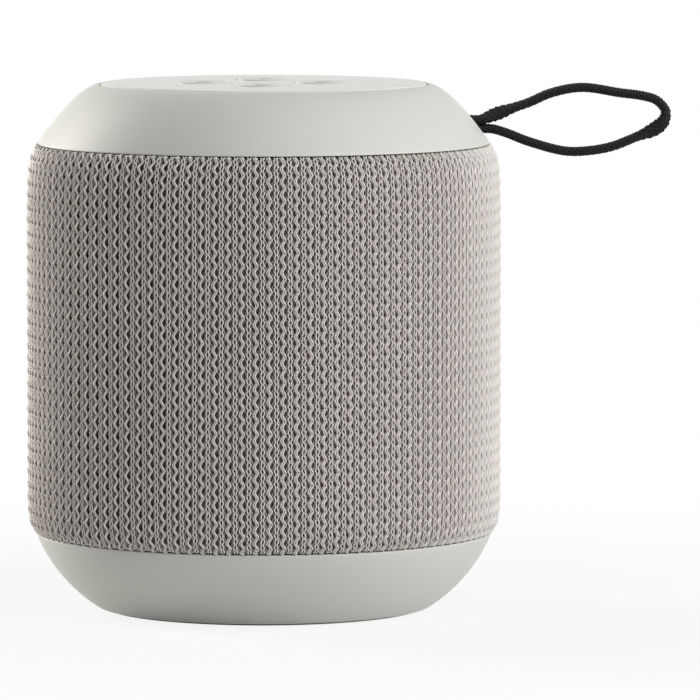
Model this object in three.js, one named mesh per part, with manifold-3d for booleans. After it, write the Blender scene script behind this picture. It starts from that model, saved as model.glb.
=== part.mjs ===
// Portable round smart speaker with a knitted sleeve and a carrying strap.
// Millimetres, +Z up. The origin is the centre of the foot pad's underside.
// The strap leaves towards +X and the charging port faces +Y.
import * as THREE from "three";
import { mergeVertices } from "three/addons/utils/BufferGeometryUtils.js";
import Module from "manifold-3d";

const wasm = await Module();
wasm.setup();

// ---- Driving dimensions ----

// Gaps between pieces
const SEAT = 0.1; // between faces that rest on or are glued to each other
const CLEARANCE = 0.3; // between pieces that pass or move by each other

// Battery cell
const CELL_RADIUS = 9.2;
const CELL_LENGTH = 65;
const TERMINAL_RADIUS = 2.8;
const TERMINAL_HEIGHT = 0.6;

// Shells from the inside out
const CELL_TO_CHAMBER = 0.8; // from the cell's ends to the chamber wall
const CHAMBER_WALL = 1.5;
const CAGE_WALL = 1.8;
const FABRIC_THICKNESS = 0.9;

// Heights from the table up
const FOOT_PROUD = 0.4; // how far the foot pad stands below the bottom cap
const FOOT_PAD_THICKNESS = 1.4;
const CAP_FLOOR = 2.4;
const LEG_HEIGHT = 16.1; // from the cap's floor to the chamber
const CHAMBER_FLOOR = 2;
const CELL_LIFT = 5.1; // from the chamber's floor to the cell
const CELL_TO_DRIVER = 1.8;
const DRIVER_DEPTH = 20.5;
const DIFFUSER_GAP = 12; // from the baffle to the diffuser
const DIFFUSER_PLATE = 2;
const BOARD_LIFT = 2;
const BOARD_THICKNESS = 1.6;
const SWITCH_HEIGHT = 3.5;
const PLUNGER_PROUD = 2.1; // how far a switch's plunger stands above its body
const STEM_LENGTH = 2.7;
const KEY_FLANGE = 1.1;
const PLATE_THICKNESS = 2;

// Caps and sleeve
const CAP_WALL = 2.2;
const SEAM_GAP = 0.15; // the fine line between a cap and the sleeve
const BOTTOM_CAP_HEIGHT = 14.35;
const BOTTOM_SEAM_INSET = 1.575; // how far the bottom cap's rim lies inside the sleeve's radius
const BOTTOM_RIM_LEAN = 19; // degrees from upright, where the bottom cap leaves its rim
const BOTTOM_RIM_REACH = 6.28; // how far the curve keeps that direction
const FOOT_PAD_RADIUS = 29.5;
const BOTTOM_EDGE_WIDTH = 1; // of the cap's rim round the foot pad's recess
const BOTTOM_EDGE_LEAN = 30; // degrees above level, where the curve meets the table
const BOTTOM_EDGE_REACH = 5.2;
const TOP_CAP_HEIGHT = 11.25;
const TOP_SEAM_INSET = 1.99;
const TOP_RIM_LEAN = 33;
const TOP_RIM_REACH = 4.54;
const TOP_EDGE_LEAN = 5;
const TOP_EDGE_REACH = 3.6;
const TOP_LIP_DROP = 0.16; // how far the cap's inner lip lies below the control plate
const NECK_WALL = 1.4;
const NECK_HEIGHT = 1.8; // how far the cage's necks reach into the caps
const TOP_SHOULDER_HEIGHT = 14;
const TOP_SHOULDER_INSET = 1.85;
const BOTTOM_SHOULDER_HEIGHT = 7.5;
const BOTTOM_SHOULDER_INSET = 1.4;

// Grille cage
const CAGE_RIBS = 12;
const CAGE_RIB_WIDTH = 4.4;
const CAGE_WINDOW_ROWS = 2;
const CAGE_RING_HEIGHT = 3.2;
const CAGE_SOLID_ENDS = 8; // solid height above and below the windows

// Base screws and legs
const LEGS = 3;
const LEG_RADIUS = 3.2;
const SCREW_HEAD_RADIUS = 2.4;
const SCREW_HEAD_HEIGHT = 1.2;
const SCREW_SHANK_RADIUS = 1.25;
const SCREW_LENGTH = 9;

// Passive radiator
const RADIATOR_ROLL = 4.4; // width of the rubber roll
const RADIATOR_FLANGE = 2.2; // width of the rubber flange outside the roll
const RADIATOR_PLATE_THICKNESS = 2;
const RUBBER_THICKNESS = 0.7;

// Battery saddles
const SADDLE_THICKNESS = 3.6;
const SADDLE_HALF_DEPTH = 9;
const SADDLE_INSET = 1.2; // from the cell's end to the saddle

// Driver, measured from the baffle's top face
const BAFFLE_THICKNESS = 2.4;
const FRAME_THICKNESS = 1.2;
const BASKET_LIP = 0.5; // how far the basket's outside lies beyond the surround's roll
const BASKET_WALL = 1.1;
const SHELF_DEPTH = 9.3; // of the spider's shelf below the baffle
const SHELF_BORE = 17;
const COLLAR_WIDTH = 2.2;
const COLLAR_HEIGHT = 2.5;
const BASKET_WINDOWS = 6;
const YOKE_WALL = 2.7;
const YOKE_FLOOR = 2;
const MAGNET_INSET = 0.4; // of the magnet's side below the pole plate's
const MAGNET_HEIGHT = 3;
const POLE_RADIUS = 8.6;
const POLE_HEIGHT = 1.8;
const COIL_GAP = 0.5;
const FORMER_THICKNESS = 0.4;
const WINDING_THICKNESS = 0.9;
const WINDING_HEIGHT = 4;
const COIL_LIFT = 2; // from the yoke's floor to the coil
const SPIDER_THICKNESS = 0.4;
const CONE_RADIUS = 21.4;
const CONE_THICKNESS = 0.5;
const DUST_CAP_RADIUS = 10.6;
const DUST_CAP_HEIGHT = 2.5;
const SURROUND_THICKNESS = 0.4;
const SURROUND_ROLL = 3.2;
const SURROUND_FLANGE = 2;
const GASKET_THICKNESS = 0.8;
const DRIVER_SCREWS = 4;
const DRIVER_SCREW_HEAD = 1.6;
const DRIVER_SCREW_SHANK = 1;

// Sound diffuser
const POSTS = 4;
const POST_RADIUS = 2.4;
const DIFFUSER_CONE_INSET = 1.2; // from the posts to the diffuser's cone
const DIFFUSER_CONE_DROP = 6;
const BOSS_RADIUS = 2.5;

// Electronics on the main board
const BOARD_RADIUS = 27;
const SWITCH_SIZE = 6;
const PLUNGER_RADIUS = 1.7;
const PLUNGER_SUNK = 1; // how deep the plunger reaches into the switch
const MODULE_SIZE = [16, 12, 2.2];
const AMPLIFIER_SIZE = [7, 7, 1.6];
const INDUCTOR_SIZE = [7, 7, 4];
const CAPACITOR_RADIUS = 3.15;
const CAPACITOR_HEIGHT = 5.8;
const LIGHT_SIZE = [2, 1.25, 0.8];
const LIGHT_PIPE_RADIUS = 1.2;

// Control plate and keys
const CONTROL_PLATE_RADIUS = 30.2;
const PLATE_EDGE_ROUND = 0.5;
const PLATE_LEDGE = 4.2; // width of the ledge that carries the plate
const KEY_CIRCLE = 11;
const KEY_RADIUS = 5;
const KEY_FLANGE_WIDTH = 1;
const KEY_STEM_RADIUS = 1.6;
const KEY_PROUD = 0.25; // how far a key stands above the plate
const KEY_EDGE_ROUND = 0.3;
const KEY_DISH = 0.15; // how deep the key's top is hollowed
const KEY_TRAVEL = 0.5;

// Charging port at the back
const PORT_HEIGHT_ABOVE_TABLE = 32;
const COVER_WIDTH = 15;
const COVER_HEIGHT = 8;
const COVER_THICKNESS = 1.8;
const COVER_PROUD = 0.3; // how far the cover stands out of the sleeve
const BEZEL_RIM = 2.6;
const BEZEL_CORNER = 2.4;
const HINGE_BARREL_RADIUS = 1.05;
const HINGE_PIN_RADIUS = 0.4;
const HINGE_BORE_RADIUS = 0.6;
const HINGE_PIN_BITE = 1.2; // how far the pin reaches into the bezel at each end
const HINGE_SIDE_GAP = 1.5; // from the hinge axis to the pocket's side wall
const SOCKET_WIDTH = 8.94;
const SOCKET_HEIGHT = 3.2;
const SOCKET_DEPTH = 4.2;
const SOCKET_WALL = 0.3;
const TONGUE_THICKNESS = 0.7;
const PORT_BOARD_WIDTH = 22;
const PORT_BOARD_THICKNESS = 1.2;
const PORT_BOARD_HEIGHT = 14;
const PORT_POST_RADIUS = 1.3;

// Strap
const STRAP_AZIMUTH = 8; // degrees from +X towards +Y
const STRAP_WIDTH = 3.2;
const STRAP_THICKNESS = 1.7;
const STRAND_SPACING = 1.9;
const STRAP_SLOT_CLEARANCE = 0.2;
const SLOT_BRIDGE = 1.15; // height of the cap's material below the slot
const CRIMP_SIZE = [4, 5.6, 5];

// Wiring harness
const HARNESS_RADIUS = 0.9;
const HARNESS_X = -8;
const HARNESS_BEND = 7.5; // length over which the harness turns
const HARNESS_PLUG_SIZE = [6, 4, 3];

// Facets
const SHELL_FACETS = 48;
const CAGE_FACETS = 36;
const RING_FACETS = 24;
const SMALL_FACETS = 16;
const SCREW_FACETS = 10;
const CURVE_STEPS = 4;
const ROLL_STEPS = 4;
const STRAP_STEPS = 44;
const HARNESS_STEPS = 24;

// ---- Places worked out from the driving dimensions ----

// The driver sets its own frame, from the cone outwards
const ROLL_START = CONE_RADIUS + CLEARANCE;
const ROLL_END = ROLL_START + SURROUND_ROLL;
const SURROUND_RADIUS = ROLL_END + SURROUND_FLANGE;
const BASKET_RADIUS = ROLL_END + BASKET_LIP;
const FRAME_BORE = BASKET_RADIUS - BASKET_WALL;
const DRIVER_SCREW_CIRCLE = SURROUND_RADIUS + CLEARANCE + DRIVER_SCREW_HEAD;
const FRAME_RADIUS = DRIVER_SCREW_CIRCLE + DRIVER_SCREW_HEAD + SEAT;
const COIL_RADIUS = POLE_RADIUS + COIL_GAP;
const YOKE_BORE = COIL_RADIUS + WINDING_THICKNESS + COIL_GAP;
const YOKE_RADIUS = YOKE_BORE + YOKE_WALL;
const MAGNET_RADIUS = POLE_RADIUS - MAGNET_INSET;

// The chamber holds the cell and carries the driver's frame between its posts
const CELL_REACH = Math.hypot(CELL_LENGTH / 2, CELL_RADIUS) + CELL_TO_CHAMBER + CHAMBER_WALL;
const FRAME_REACH = FRAME_RADIUS + SEAT + 2 * POST_RADIUS + SEAT;
const CHAMBER_RADIUS = Math.max(CELL_REACH, FRAME_REACH);
const CHAMBER_BORE = CHAMBER_RADIUS - CHAMBER_WALL;
const POST_CIRCLE = CHAMBER_RADIUS - POST_RADIUS - SEAT;
const DIFFUSER_CONE_RADIUS = POST_CIRCLE - POST_RADIUS - DIFFUSER_CONE_INSET;

// The port's pieces lie between the chamber and the sleeve
const PORT_BOARD_Y = CHAMBER_RADIUS + CLEARANCE + PORT_BOARD_THICKNESS;
const SOCKET_Y = PORT_BOARD_Y + SEAT + SOCKET_DEPTH;
const POCKET_RADIUS = SOCKET_Y + CLEARANCE;
const COVER_RADIUS = POCKET_RADIUS + CLEARANCE + COVER_THICKNESS;
const SLEEVE_RADIUS = COVER_RADIUS - COVER_PROUD;
const CAGE_BORE = SLEEVE_RADIUS - FABRIC_THICKNESS - CLEARANCE - CAGE_WALL;
const SOUND_GAP = CAGE_BORE - CHAMBER_RADIUS;
const TOP_RIM_RADIUS = SLEEVE_RADIUS - TOP_SEAM_INSET;
const BOTTOM_RIM_RADIUS = SLEEVE_RADIUS - BOTTOM_SEAM_INSET;
const PAD_RECESS_RADIUS = FOOT_PAD_RADIUS + CLEARANCE;
const BOTTOM_EDGE_RADIUS = PAD_RECESS_RADIUS + BOTTOM_EDGE_WIDTH;
const PAD_RECESS_Z = FOOT_PAD_THICKNESS + SEAT;
const CAP_FLOOR_Z = PAD_RECESS_Z + CAP_FLOOR;
const CHAMBER_Z = CAP_FLOOR_Z + SEAT + LEG_HEIGHT;
const CHAMBER_FLOOR_Z = CHAMBER_Z + CHAMBER_FLOOR;
const CELL_Z = CHAMBER_FLOOR_Z + CELL_LIFT + CELL_RADIUS;
const BAFFLE_Z = CELL_Z + CELL_RADIUS + CELL_TO_DRIVER + DRIVER_DEPTH;
const CHAMBER_TOP_Z = BAFFLE_Z - BAFFLE_THICKNESS - SEAT;
const DIFFUSER_Z = BAFFLE_Z + DIFFUSER_GAP;
const DIFFUSER_TOP_Z = DIFFUSER_Z + DIFFUSER_PLATE;
const BOARD_Z = DIFFUSER_TOP_Z + BOARD_LIFT + SEAT;
const BOARD_TOP_Z = BOARD_Z + BOARD_THICKNESS;
const SWITCH_Z = BOARD_TOP_Z + SEAT;
const PLUNGER_TOP_Z = SWITCH_Z + SWITCH_HEIGHT + PLUNGER_PROUD;
const KEY_Z = PLUNGER_TOP_Z + CLEARANCE;
const KEY_FLANGE_Z = KEY_Z + STEM_LENGTH;
const PLATE_Z = KEY_FLANGE_Z + KEY_FLANGE + CLEARANCE;
const TOP_Z = PLATE_Z + PLATE_THICKNESS;
const TOP_RIM_Z = TOP_Z - TOP_CAP_HEIGHT;
const SLEEVE_BOTTOM_Z = BOTTOM_CAP_HEIGHT + SEAM_GAP;
const SLEEVE_TOP_Z = TOP_RIM_Z - SEAM_GAP;
const PLATE_RECESS_RADIUS = CONTROL_PLATE_RADIUS + CLEARANCE;
const LEG_CIRCLE = PAD_RECESS_RADIUS - SCREW_HEAD_RADIUS - 2 * CLEARANCE;
const RADIATOR_RADIUS = LEG_CIRCLE - LEG_RADIUS - CLEARANCE;
const RADIATOR_BORE = RADIATOR_RADIUS - RADIATOR_FLANGE;
const RADIATOR_PLATE_RADIUS = RADIATOR_BORE - RADIATOR_ROLL - CLEARANCE;
const CHIP_CIRCLE = (KEY_CIRCLE + SWITCH_SIZE) * Math.SQRT1_2 + MODULE_SIZE[1] / 2 + 3 * CLEARANCE;
const LIGHT_CIRCLE = KEY_CIRCLE + KEY_RADIUS + KEY_FLANGE_WIDTH + LIGHT_PIPE_RADIUS + 6 * CLEARANCE;
const BEZEL_WIDTH = COVER_WIDTH + 2 * BEZEL_RIM;
const BEZEL_HEIGHT = COVER_HEIGHT + 2 * BEZEL_RIM;
const HINGE_X = COVER_WIDTH / 2 - HINGE_SIDE_GAP;
const HINGE_Y = Math.sqrt(COVER_RADIUS ** 2 - HINGE_X ** 2) - HINGE_BARREL_RADIUS;
const HARNESS_TOP_Y = CHAMBER_RADIUS - 2; // where the harness passes the diffuser
const SLOT_HALF_HEIGHT = (STRAND_SPACING + STRAP_THICKNESS) / 2 + STRAP_SLOT_CLEARANCE;
const STRAP_Z = TOP_RIM_Z + SLOT_BRIDGE + SLOT_HALF_HEIGHT;
const FULL_TURN = 2 * Math.PI;
const FAR = 100; // longer than any piece, for cutting tools

// ---- Shapes ----

const radians = THREE.MathUtils.degToRad;
const at = (x, y) => new THREE.Vector2(x, y);

// A closed mesh with merged corners as a solid that can be cut and joined.
function solid(geometry) {
  const bare = geometry.clone();
  bare.deleteAttribute("normal");
  bare.deleteAttribute("uv");
  const merged = mergeVertices(bare);
  const corners = [];
  for (let i = 0; i < merged.index.count; i += 3) {
    const [a, b, c] = [merged.index.getX(i), merged.index.getX(i + 1), merged.index.getX(i + 2)];
    if (a !== b && b !== c && c !== a) corners.push(a, b, c);
  }
  const vertProperties = merged.attributes.position.array;
  const triVerts = new Uint32Array(corners);
  return new wasm.Manifold(new wasm.Mesh({ numProp: 3, vertProperties, triVerts }));
}

// A solid as a named mesh.
function part(name, body, material) {
  const { vertProperties, triVerts } = body.getMesh();
  const geometry = new THREE.BufferGeometry();
  geometry.setAttribute("position", new THREE.BufferAttribute(vertProperties, 3));
  geometry.setIndex(new THREE.BufferAttribute(triVerts, 1));
  geometry.computeVertexNormals();
  const mesh = new THREE.Mesh(geometry, material);
  mesh.name = name;
  return mesh;
}

// A profile of radius and height, turned about Z. It starts and ends on the axis, or closes on itself.
function turned(points, facets = RING_FACETS) {
  const open = points[0].x === 0 && points[points.length - 1].x === 0;
  const outline = open ? [...points] : [...points, points[0]];
  if (THREE.ShapeUtils.area(points) < 0) outline.reverse();
  const geometry = new THREE.LatheGeometry(outline, facets);
  geometry.rotateX(Math.PI / 2);
  return solid(geometry);
}

// A flat ring, or a disc where the inner radius is 0.
function ring(inner, outer, bottom, top, facets = RING_FACETS) {
  return turned([at(inner, bottom), at(outer, bottom), at(outer, top), at(inner, top)], facets);
}

// An upright round post at a place.
function post(radius, bottom, top, x = 0, y = 0, facets = SMALL_FACETS) {
  return ring(0, radius, bottom, top, facets).translate([x, y, 0]);
}

// A box from its least to its greatest corner.
function box(low, high) {
  const size = high.map((value, i) => value - low[i]);
  const geometry = new THREE.BoxGeometry(...size);
  geometry.translate(...low.map((value, i) => value + size[i] / 2));
  return solid(geometry);
}

// A box of a size, centred over a place and standing on a height.
function block(size, x, y, bottom) {
  const [halfX, halfY] = [size[0] / 2, size[1] / 2];
  return box([x - halfX, y - halfY, bottom], [x + halfX, y + halfY, bottom + size[2]]);
}

// A rectangle with rounded corners in X and Z, extruded along +Y.
function roundedBar(width, height, corner, front, back, middleZ) {
  const [w, h] = [width / 2, height / 2];
  const shape = new THREE.Shape();
  shape.moveTo(corner - w, -h);
  shape.absarc(w - corner, corner - h, corner, -Math.PI / 2, 0);
  shape.absarc(w - corner, h - corner, corner, 0, Math.PI / 2);
  shape.absarc(corner - w, h - corner, corner, Math.PI / 2, Math.PI);
  shape.absarc(corner - w, corner - h, corner, Math.PI, 1.5 * Math.PI);
  const geometry = new THREE.ExtrudeGeometry(shape, { depth: back - front, bevelEnabled: false, curveSegments: 3 });
  geometry.rotateX(Math.PI / 2);
  geometry.translate(0, back, middleZ);
  return solid(geometry);
}

// A section swept along a smooth curve through points. The section's x lies along the curve's side.
function swept(points, section, steps) {
  const route = new THREE.CatmullRomCurve3(points.map((p) => new THREE.Vector3(...p)), false, "centripetal");
  return solid(new THREE.ExtrudeGeometry(section, { steps, extrudePath: route, bevelEnabled: false }));
}

// Places evenly spaced on a circle, each with its angle.
function around(count, radius, firstAngle = 0) {
  return Array.from({ length: count }, (_, i) => {
    const angle = radians(firstAngle) + (i * FULL_TURN) / count;
    return { angle, x: radius * Math.cos(angle), y: radius * Math.sin(angle) };
  });
}

// Points on a cubic curve in radius and height.
function curve(start, startHandle, endHandle, end, steps = CURVE_STEPS) {
  return new THREE.CubicBezierCurve(start, startHandle, endHandle, end).getPoints(steps);
}

// A profile moved to the left of its direction by a distance.
function offset(points, distance) {
  return points.map((point, i) => {
    const before = points[Math.max(i - 1, 0)];
    const after = points[Math.min(i + 1, points.length - 1)];
    const along = after.clone().sub(before).normalize();
    return at(point.x - along.y * distance, point.y + along.x * distance);
  });
}

// The radius of a rising profile at a height.
function radiusAt(points, height) {
  const i = Math.max(1, points.findIndex((point) => point.y >= height));
  const [low, high] = [points[i - 1], points[i]];
  return THREE.MathUtils.mapLinear(height, low.y, high.y, low.x, high.x);
}

// Outlines that several pieces follow, each from the bottom up
const leanUp = (angle) => at(-Math.sin(radians(angle)), Math.cos(radians(angle)));

function bottomCapOutline() {
  const rim = at(BOTTOM_RIM_RADIUS, BOTTOM_CAP_HEIGHT);
  const edge = at(BOTTOM_EDGE_RADIUS, FOOT_PROUD);
  const rimHandle = rim.clone().sub(leanUp(-BOTTOM_RIM_LEAN).multiplyScalar(BOTTOM_RIM_REACH));
  const edgeHandle = edge.clone().add(leanUp(BOTTOM_EDGE_LEAN - 90).multiplyScalar(BOTTOM_EDGE_REACH));
  return curve(edge, edgeHandle, rimHandle, rim);
}

function topCapOutline() {
  const rim = at(TOP_RIM_RADIUS, TOP_RIM_Z);
  const lip = at(PLATE_RECESS_RADIUS, TOP_Z - TOP_LIP_DROP);
  const rimHandle = rim.clone().add(leanUp(TOP_RIM_LEAN).multiplyScalar(TOP_RIM_REACH));
  const lipHandle = lip.clone().sub(leanUp(90 - TOP_EDGE_LEAN).multiplyScalar(TOP_EDGE_REACH));
  return curve(rim, rimHandle, lipHandle, lip);
}

function sleeveOutline(steps) {
  const bottomEnd = at(SLEEVE_RADIUS - BOTTOM_SHOULDER_INSET, SLEEVE_BOTTOM_Z);
  const bottomTurn = SLEEVE_BOTTOM_Z + BOTTOM_SHOULDER_HEIGHT;
  const topEnd = at(SLEEVE_RADIUS - TOP_SHOULDER_INSET, SLEEVE_TOP_Z);
  const topTurn = SLEEVE_TOP_Z - TOP_SHOULDER_HEIGHT;
  const lower = curve(
    bottomEnd,
    at(SLEEVE_RADIUS - 0.3 * BOTTOM_SHOULDER_INSET, SLEEVE_BOTTOM_Z + 0.1 * BOTTOM_SHOULDER_HEIGHT),
    at(SLEEVE_RADIUS, bottomTurn - 0.65 * BOTTOM_SHOULDER_HEIGHT),
    at(SLEEVE_RADIUS, bottomTurn),
    steps,
  );
  const upper = curve(
    at(SLEEVE_RADIUS, topTurn),
    at(SLEEVE_RADIUS, topTurn + 0.75 * TOP_SHOULDER_HEIGHT),
    at(SLEEVE_RADIUS - 0.2 * TOP_SHOULDER_INSET, SLEEVE_TOP_Z - 0.14 * TOP_SHOULDER_HEIGHT),
    topEnd,
    steps,
  );
  return [...lower, ...upper];
}

const bottomCapOuter = bottomCapOutline();
const bottomCapInner = offset(bottomCapOuter, CAP_WALL);
const topCapOuter = topCapOutline();
const topCapInner = offset(topCapOuter, CAP_WALL);
const sleeveOuter = sleeveOutline(CURVE_STEPS - 1);
const sleeveInner = offset(sleeveOuter, FABRIC_THICKNESS);
const cageOuter = offset(sleeveOutline(CURVE_STEPS / 2), FABRIC_THICKNESS + CLEARANCE);
const bottomNeckZ = BOTTOM_CAP_HEIGHT - NECK_HEIGHT;
const bottomNeckRadius = radiusAt(bottomCapInner, bottomNeckZ) - CLEARANCE;
const topNeckZ = TOP_RIM_Z + NECK_HEIGHT;
const topNeckRadius = radiusAt(topCapInner, topNeckZ) - CLEARANCE;

// ---- Materials ----

const finish = (color, roughness, metalness = 0) =>
  new THREE.MeshStandardMaterial({ color, roughness, metalness });
const shellPlastic = finish(0xcdcec8, 0.55);
const platePlastic = finish(0xd2d3cd, 0.5);
const keyRubber = finish(0xcccdc7, 0.65);
const knit = finish(0x9c948c, 0.95);
const darkPlastic = finish(0x26262a, 0.7);
const blackRubber = finish(0x1d1d20, 0.85);
const greyRubber = finish(0x8b8b87, 0.9);
const braid = finish(0x25242a, 0.9);
const steel = finish(0xb8babd, 0.35, 1);
const darkSteel = finish(0x55585c, 0.45, 1);
const magnetMetal = finish(0x8d9094, 0.3, 1);
const paperCone = finish(0x303034, 0.9);
const copper = finish(0xb87348, 0.4, 1);
const spiderCloth = finish(0xc49a4a, 0.9);
const circuitBoard = finish(0x1f5a3a, 0.5);
const chipEpoxy = finish(0x18181a, 0.55);
const canAluminium = finish(0xc9cbce, 0.4, 1);
const cellSleeve = finish(0x2f6ea8, 0.4);
const clearPlastic = finish(0xe8ecec, 0.15);
const lightLens = finish(0xf4f2e6, 0.3);

// ---- Base: foot pad, bottom cap and its screws ----

function makeFootPad() {
  const bevel = 0.3 * FOOT_PROUD;
  const profile = [
    at(0, 0),
    at(FOOT_PAD_RADIUS - bevel, 0),
    at(FOOT_PAD_RADIUS, bevel),
    at(FOOT_PAD_RADIUS, FOOT_PAD_THICKNESS),
    at(0, FOOT_PAD_THICKNESS),
  ];
  return part("foot_pad", turned(profile, SHELL_FACETS), greyRubber);
}

function makeBottomCap() {
  const wall = bottomCapInner.filter((point) => point.y > CAP_FLOOR_Z + CLEARANCE);
  const profile = [
    at(0, PAD_RECESS_Z),
    at(PAD_RECESS_RADIUS, PAD_RECESS_Z),
    at(PAD_RECESS_RADIUS, FOOT_PROUD),
    ...bottomCapOuter,
    at(radiusAt(bottomCapInner, BOTTOM_CAP_HEIGHT), BOTTOM_CAP_HEIGHT),
    ...wall.filter((point) => point.y < BOTTOM_CAP_HEIGHT - CLEARANCE).reverse(),
    at(radiusAt(bottomCapInner, CAP_FLOOR_Z), CAP_FLOOR_Z),
    at(0, CAP_FLOOR_Z),
  ];
  let cap = turned(profile, SHELL_FACETS);
  const headTop = PAD_RECESS_Z + SCREW_HEAD_HEIGHT + SEAT;
  for (const { x, y } of around(LEGS, LEG_CIRCLE, -90)) {
    cap = cap.subtract(post(SCREW_HEAD_RADIUS + CLEARANCE, 0, headTop, x, y));
    cap = cap.subtract(post(SCREW_SHANK_RADIUS + CLEARANCE, 0, CAP_FLOOR_Z + 1, x, y));
  }
  return part("bottom_cap", cap, shellPlastic);
}

// A screw with its head down, its bearing face at height 0 and its shank up.
function screw(headRadius, headHeight, shankRadius, length) {
  const profile = [
    at(0, -headHeight),
    at(0.8 * headRadius, -headHeight),
    at(headRadius, -0.6 * headHeight),
    at(headRadius, 0),
    at(shankRadius, 0),
    at(shankRadius, length - shankRadius),
    at(0, length),
  ];
  return turned(profile, SCREW_FACETS);
}

function makeBaseScrews() {
  const bearing = PAD_RECESS_Z + SCREW_HEAD_HEIGHT;
  return around(LEGS, LEG_CIRCLE, -90).map(({ x, y }, i) => {
    const body = screw(SCREW_HEAD_RADIUS, SCREW_HEAD_HEIGHT - SEAT, SCREW_SHANK_RADIUS, SCREW_LENGTH);
    const mesh = part(`base_screw_${i + 1}`, body, steel);
    mesh.position.set(x, y, bearing);
    return mesh;
  });
}

// ---- Chamber: shell, baffle, passive radiator and battery ----

function makeChamberShell() {
  const profile = [
    at(RADIATOR_BORE, CHAMBER_Z),
    at(CHAMBER_RADIUS, CHAMBER_Z),
    at(CHAMBER_RADIUS, CHAMBER_TOP_Z),
    at(CHAMBER_BORE, CHAMBER_TOP_Z),
    at(CHAMBER_BORE, CHAMBER_FLOOR_Z),
    at(RADIATOR_BORE, CHAMBER_FLOOR_Z),
  ];
  let shell = turned(profile);
  const pilotTop = PAD_RECESS_Z + SCREW_HEAD_HEIGHT + SCREW_LENGTH + CLEARANCE;
  for (const { x, y } of around(LEGS, LEG_CIRCLE, -90)) {
    shell = shell.add(post(LEG_RADIUS, CAP_FLOOR_Z + SEAT, CHAMBER_Z + CHAMBER_FLOOR / 2, x, y));
    shell = shell.subtract(post(SCREW_SHANK_RADIUS + SEAT, 0, pilotTop, x, y));
  }
  return part("chamber_shell", shell, darkPlastic);
}

function makeChamberBaffle() {
  const opening = BASKET_RADIUS + CLEARANCE;
  let baffle = ring(opening, CHAMBER_RADIUS, BAFFLE_Z - BAFFLE_THICKNESS, BAFFLE_Z);
  for (const { x, y } of around(POSTS, POST_CIRCLE, 45)) {
    baffle = baffle.add(post(POST_RADIUS, BAFFLE_Z - BAFFLE_THICKNESS / 2, DIFFUSER_Z - SEAT, x, y));
  }
  for (const { x, y } of around(DRIVER_SCREWS, DRIVER_SCREW_CIRCLE)) {
    baffle = baffle.subtract(post(DRIVER_SCREW_SHANK + SEAT, 0, FAR, x, y, SCREW_FACETS));
  }
  return part("chamber_baffle", baffle, darkPlastic);
}

// A rubber ring with a half-round roll between two flat flanges. side is +1 for a roll that bulges up.
function rollRing(inner, rollStart, rollEnd, outer, thickness, side) {
  const middle = (rollStart + rollEnd) / 2;
  const reach = (rollEnd - rollStart) / 2;
  const arc = (radius, level) =>
    Array.from({ length: ROLL_STEPS + 1 }, (_, i) => {
      const angle = Math.PI * (1 - i / ROLL_STEPS);
      return at(middle + radius * Math.cos(angle), level + side * radius * Math.sin(angle));
    });
  const near = side > 0 ? 0 : thickness;
  const far = thickness - near;
  const inside = arc(reach - thickness, near);
  const outside = arc(reach, near);
  outside[0].y = far;
  outside[ROLL_STEPS].y = far;
  const profile = [at(inner, near), ...inside, at(outer, near), at(outer, far), ...outside.reverse(), at(inner, far)];
  return turned(profile);
}

function makeRadiatorSurround() {
  const body = rollRing(
    RADIATOR_PLATE_RADIUS - RADIATOR_FLANGE,
    RADIATOR_PLATE_RADIUS + CLEARANCE,
    RADIATOR_BORE,
    RADIATOR_RADIUS,
    RUBBER_THICKNESS,
    -1,
  );
  const mesh = part("radiator_surround", body, blackRubber);
  mesh.position.z = CHAMBER_Z - RUBBER_THICKNESS - SEAT;
  return mesh;
}

function makeRadiatorPlate() {
  const body = ring(0, RADIATOR_PLATE_RADIUS, CHAMBER_Z, CHAMBER_Z + RADIATOR_PLATE_THICKNESS);
  return part("radiator_plate", body, steel);
}

function makeBatteryCell() {
  const half = CELL_LENGTH / 2;
  const profile = [
    at(0, -half),
    at(CELL_RADIUS, -half),
    at(CELL_RADIUS, half - TERMINAL_HEIGHT),
    at(TERMINAL_RADIUS, half - TERMINAL_HEIGHT),
    at(TERMINAL_RADIUS, half),
    at(0, half),
  ];
  const mesh = part("battery_cell", turned(profile, SMALL_FACETS), cellSleeve);
  mesh.rotation.y = Math.PI / 2;
  mesh.position.z = CELL_Z;
  return mesh;
}

function makeBatterySaddles() {
  const trough = ring(0, CELL_RADIUS + CLEARANCE, -FAR, FAR, SMALL_FACETS).rotate([0, 90, 0]).translate([0, 0, CELL_Z]);
  const outerX = CELL_LENGTH / 2 - SADDLE_INSET;
  const low = [outerX - SADDLE_THICKNESS, -SADDLE_HALF_DEPTH, CHAMBER_FLOOR_Z + SEAT];
  const body = box(low, [outerX, SADDLE_HALF_DEPTH, CELL_Z]).subtract(trough);
  const right = part("battery_saddle_right", body, darkPlastic);
  const left = part("battery_saddle_left", body, darkPlastic);
  left.rotation.z = Math.PI;
  return [left, right];
}

// ---- Driver, in its own group with the baffle's top face at height 0 ----

const yokeFloor = -DRIVER_DEPTH + YOKE_FLOOR;
const yokeRim = yokeFloor + SEAT + MAGNET_HEIGHT + SEAT + POLE_HEIGHT;
const coilBottom = yokeFloor + COIL_LIFT;
const coneNeckZ = -SHELF_DEPTH + SPIDER_THICKNESS + 1.4;
const coneRimZ = FRAME_THICKNESS - CONE_THICKNESS;
const surroundZ = FRAME_THICKNESS + SEAT;

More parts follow.
